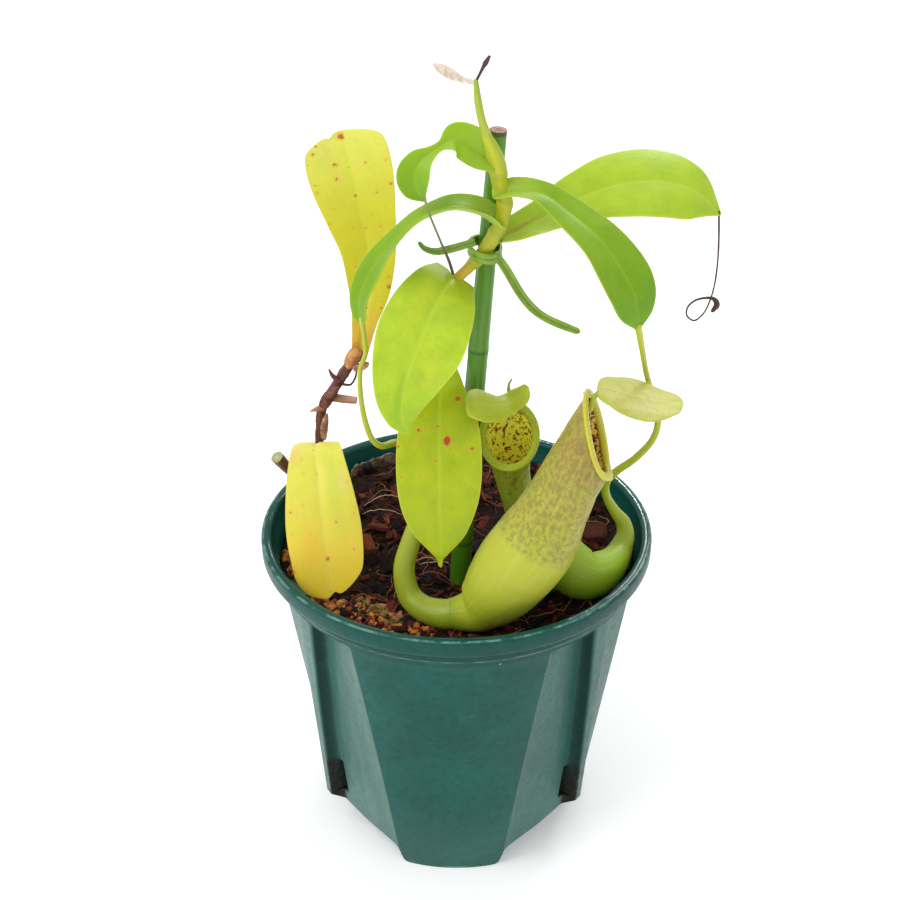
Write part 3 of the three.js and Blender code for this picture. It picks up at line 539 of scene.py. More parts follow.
# Columns of half a sector as part + share: 0 to 1 is the round facet, 1 to 2 the flat flank,
# 2 to 3 the step out of the recess and 3 to 4 half the ridge. They are close beside each edge.
wallColumns = np.array([0, 0.15, 0.3, 0.45, 0.6, 0.72, 0.82, 0.89, 0.93, 0.96, 0.975, 0.985, 0.993, 1,
                        1.008, 1.016, 1.03, 1.05, 1.08, 1.15, 1.25, 1.35, 1.45, 1.55, 1.65, 1.75, 1.85,
                        1.93, 1.97, 1.99, 2, 2.12, 2.5, 2.88, 3, 3.05, 3.15, 3.5, 4])
# The lower edge: columns and its height at them.
footStations, footHeights = [0, 0.93, 1, 1.08, 1.55, 2, 3, 4], [0, 0, 5, 6, 7, 9.5, 12, 12]


# The wall at height z and column s. The facet is an arc, the flank is straight in plan from the
# facet's edge to the recess corner, and the ridge stands out again and tapers less than the body.
def potWall(s, z, inset):
    rise = np.clip(z, 0, pot["collarBottom"]) / pot["collarBottom"]
    facet = between(pot["facetBase"], pot["facetTop"], rise)
    deep = between(pot["recessBase"], pot["recessTop"], rise)
    ridgeRise = np.clip((z - pot["ridgeFoot"]) / (pot["collarBottom"] - pot["ridgeFoot"]), 0, 1)
    ridgeHalf = between(pot["ridgeBase"], pot["ridgeTop"], ridgeRise ** pot["ridgeCurve"])
    ridge = pot["halfSector"] - np.maximum(ridgeHalf - inset * 1.2, 0.9 - 1.4 * max(inset - pot["wall"], 0))
    ridgeOut = between(pot["ridgeOutBase"], pot["ridgeOutTop"], ridgeRise)
    corner = ridge - 1
    body = between(pot["baseRadius"], pot["topRadius"], rise)
    part, share = np.minimum(np.floor(s), 3), s - np.minimum(np.floor(s), 3)
    a0, a1 = np.radians(facet), np.radians(corner)
    x = between(body * np.cos(a0), (body - deep) * np.cos(a1), share)
    y = between(body * np.sin(a0), (body - deep) * np.sin(a1), share)
    which = [part == 0, part == 1, part == 2]
    azimuth = np.select(which, [facet * share, np.degrees(np.arctan2(y, x)), between(corner, ridge, share)],
                        between(ridge, pot["halfSector"], share))
    radius = np.select(which, [body, np.hypot(x, y), between(body - deep, ridgeOut, share)], ridgeOut)
    return radius - inset, azimuth


# One ring of the wall. Without a height it lies on the lower edge, lifted by a share.
def potRing(inset, height=None, lift=0.0):
    s = np.concatenate([wallColumns[:0:-1], wallColumns[:-1]])
    side = np.concatenate([-np.ones(len(wallColumns) - 1), np.ones(len(wallColumns) - 1)])
    low = np.interp(s, footStations, footHeights)
    z = between(low, pot["collarBottom"], lift) if height is None else height + 0 * low
    radius, azimuth = potWall(s, z, inset)
    middle = np.radians(-90 + pot["turn"] + 2 * pot["halfSector"] * np.arange(3))[:, None]
    angle = (middle + np.radians(azimuth * side)[None]).ravel()
    radius, z = np.tile(radius, 3), np.tile(z, 3)
    ring = polar(radius, angle, z)
    for _ in range(2):  # rounds the edges a little
        ring = 0.5 * ring + 0.25 * (np.roll(ring, 1, 0) + np.roll(ring, -1, 0))
    return ring


# One closed grid: rings from the middle of the floor up the inner wall, over the lip, down the
# outer wall, round the lower edge and in again under the floor.
def makePotMesh():
    flat = potRing(0, pot["collarBottom"])
    around = np.arctan2(flat[:, 1], flat[:, 0])
    wall, collar, lipLow = pot["wall"], pot["collarRadius"], lipTop - pot["lipDepth"]
    low, edge, inner = pot["collarBottom"], pot["collarEdge"], pot["lipInner"]
    inside = [potRing(wall, z) for z in np.linspace(pot["floorTop"], pot["collarBottom"], 26)]
    outside = [potRing(0, lift=s) for s in 1 - np.linspace(0, 1, 46) ** 0.85]
    profile = [(collar - wall, low + 1.3), (collar - wall, low + 2), (collar - wall + 0.15, low + 5.2),
               (collar - wall + 0.5, lipLow), (inner - 0.5, lipLow + 1.4), (inner, lipTop - 1.1),
               (inner + 0.15, lipTop - 0.4), (inner + 0.6, lipTop - 0.05), (inner + 1.1, lipTop),
               (rimRadius - 1.0, lipTop), (rimRadius - 0.45, lipTop - 0.1),
               (rimRadius - 0.12, lipTop - 0.4), (rimRadius, lipTop - 0.9), (rimRadius - 0.1, lipLow + 0.9),
               (rimRadius - 0.3, lipLow + 0.3), (rimRadius - 0.7, lipLow), (collar + 0.5, lipLow - 0.02),
               (collar + 0.08, lipLow - 0.2), (collar, lipLow - 0.7), (collar, edge + 0.25),
               (collar - 0.05, edge - 0.05), (collar - 0.28, edge - 0.25), (collar - 0.3, low + 1.2)]
    rim = [polar(r, around, z) for r, z in profile]
    floorRings = [inside[0] * [k, k, 1] for k in (0.02, 0.5, 0.94, 0.985)]
    under = potRing(wall, pot["floorUnder"])
    skirt = [potRing(0.35) - [0, 0, 0.06], potRing(wall - 0.35) - [0, 0, 0.06], potRing(wall), under,
             under * [0.97, 0.97, 1], under * [0.5, 0.5, 1], under * [0.02, 0.02, 1]]
    grid = np.array(floorRings + inside + rim + outside + skirt)
    grid[..., 2] = np.maximum(grid[..., 2], 0)
    return gridMesh("potWall", grid)


def cutWith(mesh, cutters):
    body = linked("body", mesh)
    for i, cutter in enumerate(cutters):
        made = body.modifiers.new(f"cut{i}", "BOOLEAN")
        made.object, made.operation, made.solver = linked(f"tool{i}", cutter), "DIFFERENCE", "EXACT"
    bpy.context.view_layer.update()
    done = bpy.data.meshes.new_from_object(body.evaluated_get(bpy.context.evaluated_depsgraph_get()))
    for thing in [body] + [m.object for m in body.modifiers]:
        bpy.data.objects.remove(thing)
    return done


# Wedge that is wider below, for one drainage slit.
def slitWedge(angle):
    inner, outer = pot["slitInner"], pot["baseRadius"] + 12
    low, high = pot["floorUnder"] + 0.3, pot["slitTop"]
    wide, narrow = pot["slitWidth"] / 2 + 0.25, pot["slitWidth"] / 2 - 0.35
    ring = np.array([[r, s * w, z] for z, w in ((low, wide), (high, narrow)) for r, s in
                     ((inner, -1), (outer, -1), (outer, 1), (inner, 1))]).reshape(2, 4, 3)
    c, s = math.cos(angle), math.sin(angle)
    return gridMesh("slit", ring @ np.array([[c, s, 0], [-s, c, 0], [0, 0, 1]]))


# Green plastic: a painted sheen on the flat flanks, painted shade in the recesses and over the
# collar and lip, fine mottling, scuffs, a worn lower edge, pale wear with a painted highlight
# along the lip and collar edges, pale specks, and soil with painted shadow at the slits. The
# azimuth folded into half a sector tells the parts apart.
def potMaterial():
    material, tree, shader = newMaterial("potPlastic", Coat_Weight=0.06, Coat_Roughness=0.2,
                                         Specular_IOR_Level=0.22)
    spot = objectMm(tree)
    x, y, z = parts(spot)
    turn = maths("ARCTAN2", y, x) * (180 / math.pi)
    folded = maths("PINGPONG", turn + (90 - pot["turn"] + 360), pot["halfSector"])
    facetEdge = between(pot["facetBase"], pot["facetTop"], z / pot["collarBottom"])
    past = folded - facetEdge  # degrees past the facet's edge
    rise = ranged(z, pot["ridgeFoot"], pot["collarBottom"], kind="LINEAR")
    ridgeHalf = between(pot["ridgeBase"], pot["ridgeTop"], rise ** pot["ridgeCurve"])
    toRidge = pot["halfSector"] - ridgeHalf - folded
    clouds = noise(spot, 0.045, 4.0, 0.6)
    fine = noise(spot, 1.2, 3.0, 0.6)
    mottle = noise(spot, 0.5, 4.0, 0.7)
    colour = blended(ranged(clouds, 0.3, 0.7), potLook["dark"], potLook["light"])
    step = pot["collarBottom"] - 0.5, pot["collarBottom"] + 1.0
    # Painted shade: darker from just below the collar's lower edge upwards, over the collar and lip.
    colour = blended(ranged(z, *step, 0.0, 0.35), colour, potLook["collar"])
    colour = blended(ranged(mottle, 0.35, 0.68, 0.0, 0.35), colour, potLook["mottle"])
    belowCollar = ranged(z, *step[::-1])
    # Painted sheen on the flat flanks, stronger on the left, and a painted lightening towards the bottom.
    flank = ranged(past, -0.2, 0.3) * belowCollar * ranged(x, -20.0, 20.0, 1.0, 0.45)
    sheenNoise = ranged(noise(stretched(spot, (0.3, 0.3, 0.05)), 1.0, 3.0), 0.3, 0.7, 0.6, 1.0)
    paintedSheen = flank * sheenNoise * potLook["paintedSheenDepth"] + ranged(z, 30.0, 0.0) * 0.08
    colour = blended(paintedSheen, colour, potLook["paintedSheen"])
    # Painted shade in the recess beside each ridge.
    shade = ranged(toRidge, 2.4, 0.2) * ranged(toRidge, -0.15, 0.2) * belowCollar
    colour = blended(shade * potLook["shadeDepth"], colour, potLook["shade"])
    scuffs = None
    for lean, seed in ((0.5, 0.0), (-0.9, 31.0), (1.5, 77.0)):
        line = noise(stretched(spot, (0.12, 0.12, 2.2), (seed, seed, seed), (0, lean, 0.3)), 1.0, 2.0, 0.5)
        line = ranged(line, 0.7, 0.76)
        scuffs = line if scuffs is None else maths("MAXIMUM", scuffs, line)
    colour = blended(scuffs * potLook["scuffDepth"], colour, potLook["scuff"])
    worn = ranged(z, 1.0, 0.1) * ranged(clouds, 0.42, 0.6)
    rubbed = ranged(abs(past), 0.5, 0.1) * belowCollar * ranged(mottle, 0.4, 0.6, 0.04, 0.16)
    colour = blended(maths("MAXIMUM", worn * 0.6, rubbed), colour, potLook["worn"])
    away = maths("SQRT", x * x + y * y)
    # Pale wear and a painted highlight along the lip's top outer edge and the collar's lower edge.
    lipEdge = ranged(z, lipTop - 0.5, lipTop - 0.15) * ranged(away, rimRadius - 1.0, rimRadius - 0.6)
    collarEdge = ranged(abs(z - pot["collarEdge"]), 0.4, 0.15)
    collarEdge = collarEdge * ranged(away, pot["collarRadius"] - 0.6, pot["collarRadius"] - 0.3)
    wearAndShine = ranged(noise(spot, 0.25, 4.0, 0.7), 0.4, 0.62, 0.04, 0.5)
    colour = blended(maths("MAXIMUM", lipEdge, collarEdge * 0.6) * wearAndShine, colour, potLook["rim"])
    specks = useGroup(tree, spotGroup, Vector=spot, Cell=6.0, Least=0.08, Most=0.38, Share=0.5, Soft=0.15)
    colour = blended(specks["Mask"] * 0.7, colour, potLook["speck"])
    grime = ranged(noise(spot, 0.5, 4.0, 0.65), 0.45, 0.6)
    soiled = ranged(toRidge, 4.0, 1.0) * ranged(z, 30.0, 14.0) * grime
    colour = blended(soiled * 0.8, colour, potLook["soil"])
    # Soil and painted shadow darken the wall at each slit.
    slitSoilAndShadow = ranged(toRidge, 1.8, 1.2) * ranged(toRidge, -0.3, 0.1) * ranged(fine, 0.35, 0.6, 0.4, 0.95)
    slitSoilAndShadow = slitSoilAndShadow * ranged(z, pot["slitTop"] + 2, pot["slitTop"] - 1)
    colour = blended(slitSoilAndShadow, colour, potLook["slit"])
    rough = shade * 0.4 + (scuffs * 0.15 + ranged(mottle, 0.3, 0.7, 0.34, 0.46))
    polished = ranged(z, lipTop - 0.2, lipTop - 0.04)
    feed(shader, {"Base Color": colour, "Roughness": polished * (0.1 - rough) + rough})
    bumped(shader, fine * 0.03)
    return material


ridges = [-90 + pot["turn"] + pot["halfSector"] * (1 + 2 * k) for k in range(3)]
slitAngles = [math.radians(ridge + side * pot["slitOffset"]) for ridge in ridges for side in (-1, 1)]
potSolid = cutWith(makePotMesh(), [slitWedge(a) for a in slitAngles])
place("potBody", potSolid, potMaterial(), "pot_plastic", "pot", crisp=50)
print("pot made")


def leafMaterial(name, look):
    material, tree, shader = newMaterial(name, Subsurface_Weight=look.get("glow", 0.12),
                                         Subsurface_Scale=0.0012, Subsurface_Radius=(0.9, 1.0, 0.25),
                                         Coat_Weight=0.05, Coat_Roughness=0.2, Specular_IOR_Level=0.3)
    given = {key.capitalize(): look[key] for key in
             ("base", "middle", "tip", "rib", "margin", "blotch", "veins")}
    out = useGroup(tree, leafGroup, Under=look.get("under", 0.3), **given)
    colour, where = out["Color"], markOf(tree, "place")
    for patch in look.get("patches", []):
        colour = patched(colour, where, patch)
    for spots in look.get("spots", []):
        colour = spotted(colour, where, spots)
    if "tan" in look:
        dried = ranged(parts(where)[2], look["tan"]["from"], look["tan"]["to"])
        colour = blended(dried * look["tan"]["depth"], colour, look["tan"]["colour"])
    feed(shader, {"Base Color": colour, "Roughness": out["Gloss"]})
    bumped(shader, out["Height"])
    return material


green = {"base": rgb(166, 192, 70), "middle": rgb(128, 168, 16), "tip": rgb(114, 158, 6),
         "rib": rgb(152, 184, 40), "margin": rgb(176, 200, 60), "blotch": 0.35, "veins": 0.45}
lime = {"base": rgb(160, 182, 28), "middle": rgb(168, 196, 34), "tip": rgb(166, 198, 30),
        "rib": rgb(186, 208, 60), "margin": rgb(200, 214, 80), "blotch": 0.35, "veins": 0.4}
leaves = {
    "leaf_yellow_upright": {
        "slot": "leaf_yellow", "cup": 0.05, "fold": 0.1, "tipRound": 0.1, "wave": 0.3,
        "face": [[0.1, -1, 0.3], [0.1, -1, 0.3]], "notch": (0.8, -3.2, 0.8),
        "rib": [[-26.2, 21, 128.2, 2.0], [-24.5, 22, 139, 3.4], [-23, 23, 148.5, 5.6],
                [-23.2, 24, 160, 7.4], [-25, 24.5, 169.5, 9.2], [-27, 25, 179, 10.8],
                [-28.6, 25, 187, 10.8], [-29.8, 25, 192.5, 8.6]],
        "look": {"base": rgb(232, 176, 70), "middle": rgb(216, 208, 42), "tip": rgb(236, 236, 104),
                 "rib": rgb(214, 220, 70), "margin": rgb(222, 196, 80), "blotch": 0.25, "veins": 0.3,
                 "glow": 0.1,
                 "patches": [{"at": (30, 3), "size": (8, 3), "colour": rgb(190, 205, 60), "depth": 0.5},
                             {"at": (61, -5), "size": (4, 3), "colour": rgb(236, 214, 110), "depth": 0.5}],
                 "spots": [{"cell": 4.6, "least": 0.35, "most": 1.0, "share": 0.42,
                            "colour": rgb(186, 84, 44), "soft": 0.5, "halo": rgb(240, 172, 70)},
                           {"cell": 3.4, "least": 0.2, "most": 0.6, "share": 0.3,
                            "colour": rgb(206, 120, 54), "soft": 0.3}]}},
    "leaf_yellow_drooping": {
        "slot": "leaf_golden", "cup": -0.05, "fold": 0.1, "tipRound": 0.12, "wave": 0.3, "thickness": 0.8,
        "notch": (1.3, -1.2, 1.1), "slant": 0.2, "groove": 0.5,
        "face": [[0, 0.6, 1], [0, 0, 1], [0, -0.4, 1], [0, -1, 0.7], [0, -1, 0.45], [0, -1, 0.3]],
        "rib": [[-37.8, 20.5, 97, 2.2], [-37.5, 13, 105.5, 3.9], [-37.3, 5, 111, 6],
                [-36.8, -3, 110.6, 7.4], [-35.8, -10, 104.5, 9], [-34.8, -14, 96.5, 9.9],
                [-33.8, -17.3, 88, 9.4], [-33.1, -20.8, 79.4, 7.6]],
        "look": {"base": rgb(214, 212, 80), "middle": rgb(226, 222, 88), "tip": rgb(248, 214, 58),
                 "rib": rgb(234, 226, 110), "margin": rgb(232, 200, 84), "blotch": 0.2, "veins": 0.28,
                 "glow": 0.1,
                 "patches": [{"at": (24, 6), "size": (6, 3.5), "colour": rgb(240, 208, 150), "depth": 0.55},
                             {"at": (36, -6), "size": (5, 3), "colour": rgb(240, 214, 150), "depth": 0.4},
                             {"at": (40, -4), "size": (15, 3.5), "colour": rgb(206, 214, 78), "depth": 0.6},
                             {"at": (27, 6), "size": (5, 3), "colour": rgb(236, 190, 110), "depth": 0.5},
                             {"at": (52, 4), "size": (8, 4), "colour": rgb(248, 200, 60), "depth": 0.6}],
                 "spots": [{"cell": 4.0, "least": 0.25, "most": 0.7, "share": 0.38,
                            "colour": rgb(200, 104, 60), "soft": 0.4, "halo": rgb(240, 186, 90)}]}},
    "leaf_left_arching": {
        "slot": "leaf_green", "cup": [0.5, 0.1, 0.05, 0.05], "fold": 0.15, "tipRound": 0.03,
        "look": dict(green),
        "face": [[0.2, -0.3, 1], [0, 0, 1], [-0.5, 0, 0.8], [-0.9, -0.2, 0.6], [-0.9, -0.6, 0.2],
                 [-0.7, -0.9, 0]],
        "rib": [[10.5, -13.8, 184.5, 2.8], [6, -15, 188.5, 4], [0, -16, 190.5, 4.5], [-5, -17, 190, 4.7],
                [-9.7, -18, 188, 4.5], [-13.7, -19, 184.5, 4.2], [-17.6, -20, 180, 4.2], [-21, -21, 175, 4],
                [-23.6, -22, 169, 3], [-23.4, -23, 162.8, 2]]},
    "leaf_right_front": {
        "slot": "leaf_green", "cup": [0.5, -0.02, -0.05, -0.08], "fold": 0.12, "tipRound": 0.09,
        "baseRound": 0.03, "look": dict(green, tip=rgb(106, 158, 4)),
        "face": [[-0.2, -0.4, 1], [0.2, -0.4, 0.9], [0.6, -0.6, 0.7], [0.7, -0.9, 0.4], [0.7, -0.9, 0.3]],
        "rib": [[8.4, -15.6, 192.9, 1.8], [13.6, -15.4, 194.6, 3.2], [20, -17, 194.5, 3.6],
                [25.7, -19.5, 191.5, 4.8], [33.2, -24, 186.5, 6.4], [37.8, -26.5, 181, 7.4],
                [41.5, -28.5, 175, 7.3], [43, -29.5, 169.5, 5.6], [43.5, -30, 164.5, 1.2]]},
    "leaf_right_back": {
        "slot": "leaf_lime", "cup": [0.6, 0.1, -0.1, -0.1], "fold": 0.08, "tipRound": 0.1,
        "look": dict(lime,
                     patches=[{"at": (7, -1), "size": (6, 0.5), "colour": rgb(190, 120, 70), "depth": 0.5,
                               "soft": 0.4}]),
        "face": [[-0.4, -0.5, 1], [-0.2, -0.5, 1], [0, -0.5, 1], [0.2, -0.5, 1], [0.7, -0.5, 0.8]],
        "rib": [[9.5, -13.8, 180.5, 3], [13.6, -11.5, 180.8, 4.2], [18, -8.5, 182, 4.9],
                [23.3, -5, 183.5, 5.6], [31, 0, 185.5, 7.6], [40.5, 4, 187, 10.2], [50.5, 7, 186.5, 10.8],
                [59.7, 9, 183, 8.6], [66.8, 10, 176, 1.6]]},
    "leaf_upper_left": {
        "slot": "leaf_green", "cup": [0.4, 0.1, 0.1], "fold": 0.25, "tipRound": 0.08,
        "look": dict(green, base=rgb(156, 190, 60), middle=rgb(144, 184, 28)),
        "face": [[0, -0.8, 0.9], [0, -1, 0.7], [0, -1, 0.6], [-0.2, -1, 0.5], [-0.4, -1, 0.3],
                 [-0.4, -1, 0]],
        "rib": [[9, -13.8, 200.6, 2.4], [5.8, -14.2, 203.4, 4.2], [2.4, -14.6, 206.2, 4.6],
                [-0.6, -15, 207.7, 3.8], [-3.6, -15.5, 206.4, 1.4], [-6.2, -16.3, 204.8, 1.7],
                [-8.7, -17.2, 202.8, 3.4], [-10, -18, 199.9, 4.3], [-9.6, -18.8, 196.8, 3.6],
                [-7.8, -19.5, 193.6, 0.8]]},
    "leaf_front": {
        "slot": "leaf_lime", "cup": -0.05, "fold": 0.08, "tipRound": 0.12, "baseNotch": (1.4, 0.2, 1.2),
        "look": dict(lime, middle=rgb(174, 200, 40), tip=rgb(158, 192, 26), blotch=0.5,
                     patches=[{"at": (12, 4), "size": (9, 3), "colour": rgb(204, 208, 44), "depth": 0.4},
                              {"at": (27, -5), "size": (8, 2.4), "colour": rgb(206, 204, 50),
                               "depth": 0.35},
                              {"at": (36, 1), "size": (8, 1.6), "colour": rgb(126, 176, 14),
                               "depth": 0.5}]),
        "face": [[0.4, -0.5, 1], [0, -1, 0.6], [0, -1, 0.3], [0, -1, 0.2]],
        "rib": [[-0.4, -13.9, 171, 5.6], [-3.1, -20, 170.2, 8.6], [-6.3, -26, 166.5, 10.6],
                [-9.2, -29.6, 160.5, 11], [-11.9, -31.6, 153.5, 9.1], [-13.5, -32.7, 147, 6.6],
                [-13.5, -33, 141.8, 4], [-12, -33, 137.2, 1.2]]},
    "leaf_low_front": {
        "slot": "leaf_spotted", "cup": -0.05, "fold": 0.06, "tipRound": 0.04,
        "look": dict(lime, base=rgb(174, 190, 30), middle=rgb(168, 184, 10), tip=rgb(166, 188, 4),
                     rib=rgb(180, 200, 40), margin=rgb(200, 204, 60), blotch=0.5,
                     patches=[{"at": (24, -2), "size": (2, 1.5), "colour": rgb(206, 150, 44), "depth": 0.7,
                               "soft": 0.6},
                              {"at": (24, -2), "size": (1.3, 0.9), "colour": rgb(176, 48, 34), "depth": 0.9,
                               "soft": 0.4, "grain": 0.4}],
                     spots=[{"cell": 4.6, "least": 0.3, "most": 0.95, "share": 0.46,
                             "colour": rgb(186, 62, 34), "soft": 0.45, "halo": rgb(214, 170, 50)}],
                     tan={"from": 0.975, "to": 0.992, "depth": 0.9, "colour": rgb(190, 140, 80)}),
        "face": [[0, -0.8, 0.8], [0, -1, 0.4], [0, -1, 0.3]],
        "rib": [[-2.8, -6, 144.3, 1.6], [-3.5, -12, 141.7, 4.6], [-4.3, -18, 138.2, 7.8],
                [-4.5, -23, 132.4, 10.2], [-4.5, -27, 123, 10.8], [-4.5, -29, 114, 9.8],
                [-4.3, -30.5, 106.4, 6.8], [-4.3, -31, 101, 2.6], [-4.3, -31, 98.6, 0.8],
                [-4.2, -31, 96.2, 0.45]]},
}
for node, leaf in leaves.items():
    points, marks = bladeShell(leaf)
    place(node.replace("leaf_", "blade_"), gridMesh(node, points, marks), leafMaterial(node, leaf["look"]),
          leaf["slot"], node)
print("leaves made")


# Fibres run along the stalk; colours go from its foot to its end, and a sawn end shows its core.
def stemMaterial(name, look):
    material, tree, shader = newMaterial(name, Roughness=look.get("roughness", 0.42),
                                         Subsurface_Weight=look.get("glow", 0.08), Subsurface_Scale=0.001)
    along, turn, share = parts(markOf(tree, "place"))
    rounded = joined(along * look.get("stretch", 0.12), maths("SINE", turn) * 1.6,
                     maths("COSINE", turn) * 1.6)
    strands = noise(rounded, 1.6, 4.0, 0.6)
    colour = blended(share, look["low"], look["high"])
    colour = blended(ranged(strands, 0.45, 0.75, 0.0, look.get("streaked", 0.6)), colour, look["streak"])
    for at, wide, tint in look.get("bands", []):
        colour = blended(ranged(abs(along - at), wide, wide * 0.3, 0.0, 0.8), colour, tint)
    if "face" in look:
        colour = blended(ranged(share, 1.0, 1.015), colour, look["edge"])
        colour = blended(ranged(share, 1.02, 1.06), colour, look["face"])
        colour = blended(ranged(share, 1.55, 1.75, 0.0, 0.7), colour, look["core"])
    feed(shader, {"Base Color": colour})
    bumped(shader, strands * look.get("relief", 0.12))
    return material


# Swellings at places along the stalk, each a bell of its own width and height.
def swellings(*bumps):
    def relief(length, turn, share):
        return sum(h * np.exp(-(((length - at) / wide) ** 2)) for at, wide, h in bumps)
    return relief


# Dry bark: folds along the stalk, broken by noise.
def wrinkles(depth, folds=5):
    def relief(length, turn, share):
        spot = stacked(length * 0.5, np.cos(turn) * 1.3, np.sin(turn) * 1.3)
        return depth * (0.4 * np.cos(folds * turn + length * 0.3) + layeredNoise(spot, 3))
    return relief


# An oval section, wider towards the aimed side and its opposite.
def flattened(amount):
    def relief(length, turn, share):
        return amount * np.cos(2 * turn)
    return relief


stemLooks = {
    "stakeGreen": {
        "low": rgb(72, 124, 20), "high": rgb(82, 140, 10), "streak": rgb(124, 160, 40), "streaked": 0.4,
        "stretch": 0.03, "roughness": 0.34, "glow": 0.0, "relief": 0.08,
        "bands": [(38, 0.8, rgb(40, 84, 20)), (96, 0.8, rgb(50, 96, 30)), (155.6, 1.2, rgb(70, 50, 28))],
        "edge": rgb(44, 30, 18), "face": rgb(150, 88, 44), "core": rgb(96, 54, 28)},
    "stemYellow": {
        "low": rgb(152, 152, 30), "high": rgb(192, 200, 34), "streak": rgb(214, 190, 40), "streaked": 0.4,
        "bands": [(105, 3.0, rgb(214, 176, 48)), (118, 1.2, rgb(168, 176, 50)),
                  (134, 1.0, rgb(170, 176, 50))]},
    "sheathGreen": {
        "low": rgb(178, 182, 44), "high": rgb(160, 184, 50), "streak": rgb(196, 196, 80), "streaked": 0.4},
    "tipGreen": {"low": rgb(178, 190, 50), "high": rgb(150, 176, 44), "streak": rgb(196, 204, 100)},
    "tendrilGreen": {
        "low": rgb(184, 190, 46), "high": rgb(146, 164, 30), "streak": rgb(188, 192, 70), "streaked": 0.35},
    "dryBrown": {
        "low": rgb(84, 44, 38), "high": rgb(100, 56, 48), "streak": rgb(150, 96, 84), "roughness": 0.6,
        "glow": 0.0, "relief": 0.3, "stretch": 0.3},
    "dryDark": {
        "low": rgb(62, 42, 38), "high": rgb(72, 44, 38), "streak": rgb(120, 84, 72), "roughness": 0.6,
        "glow": 0.0, "relief": 0.15},
    "dryPale": {
        "low": rgb(150, 160, 90), "high": rgb(64, 48, 46), "streak": rgb(120, 100, 80), "roughness": 0.6,
        "glow": 0.0, "relief": 0.15},
    "cutBrown": {
        "low": rgb(104, 62, 50), "high": rgb(124, 84, 62), "streak": rgb(156, 116, 84), "roughness": 0.65,
        "glow": 0.0, "relief": 0.3, "edge": rgb(110, 84, 60), "face": rgb(164, 172, 120),
        "core": rgb(204, 206, 170)},
    "stubTan": {
        "low": rgb(140, 88, 76), "high": rgb(206, 156, 140), "streak": rgb(150, 100, 86), "roughness": 0.7,
        "glow": 0.0, "relief": 0.3, "edge": rgb(80, 50, 40), "face": rgb(110, 66, 50),
        "core": rgb(60, 36, 28)},
}
stemMaterials = {name: stemMaterial(name, look) for name, look in stemLooks.items()}

bothTendrils = {
    "left": {
        "tendril": [[-23.2, -23, 164, 0.7], [-22.7, -23, 159.5, 0.62], [-22.4, -23, 154.7, 0.62],
                    [-23.7, -23.5, 150.5, 0.62], [-24, -24, 146, 0.64], [-23.6, -24, 140, 0.68],
                    [-22.7, -24, 134.7, 0.72], [-21.3, -23, 129.8, 0.76], [-19, -21, 126.5, 0.85],
                    [-15.5, -17, 125, 1], [-11.7, -14, 122, 1.15], [-8.4, -13, 118, 1.4],
                    [-7.2, -14, 112.5, 1.7], [-8.5, -16.5, 106, 2.1], [-11.6, -19.5, 97.6, 2.5],
                    [-13.7, -22, 90, 2.8], [-12.5, -24.5, 83.5, 3.1], [-8.8, -27, 80.6, 3.5],
                    [-3.8, -28.5, 79.8, 4]],
        "pitcher": [[-0.6, -29.2, 80.4, 4.3], [4.5, -29.8, 82, 6], [7.8, -29.8, 85, 8],
                    [11.4, -29.5, 89.5, 9.8], [15.2, -29, 95, 10.8], [19, -28.5, 100.5, 10.8],
                    [21.9, -28, 105.7, 10], [24.9, -27.5, 112, 8.9], [28.9, -27, 120.7, 8.1],
                    [32, -26.5, 127.5, 7.4], [34.4, -26, 132.6, 6.8]]},
    "right": {
        "tendril": [[43.5, -29.7, 165.5, 0.9], [45.5, -22, 154.8, 0.75], [47.4, -15.5, 144.8, 0.7],
                    [49.5, -12.5, 136.5, 0.8], [51.5, -11, 129, 0.85], [50.6, -10, 122, 0.9],
                    [46.6, -8, 115, 1], [41.8, -6, 109.5, 1.05], [39.4, -4, 104.5, 1.1], [40, -2, 99, 1.15],
                    [42.4, -1.4, 94, 1.5], [44.6, -1.6, 90.8, 2], [45.2, -3.4, 87.8, 2.5]],
        "pitcher": [[43.8, -6.5, 85.2, 3.3], [41.9, -10, 84, 4.2], [39.3, -13, 83.4, 5.3],
                    [36, -15.6, 83.3, 6.2], [32.4, -16.4, 84.4, 7], [27.8, -15, 87.4, 7.2],
                    [22.8, -12.5, 92.4, 6.6], [18.2, -10.8, 99.8, 5.2], [15.3, -10.5, 107.6, 4.5],
                    [14, -11.3, 115, 5.1], [13.5, -12.6, 120.5, 6], [13.4, -13.4, 124.9, 6.7]]},
}
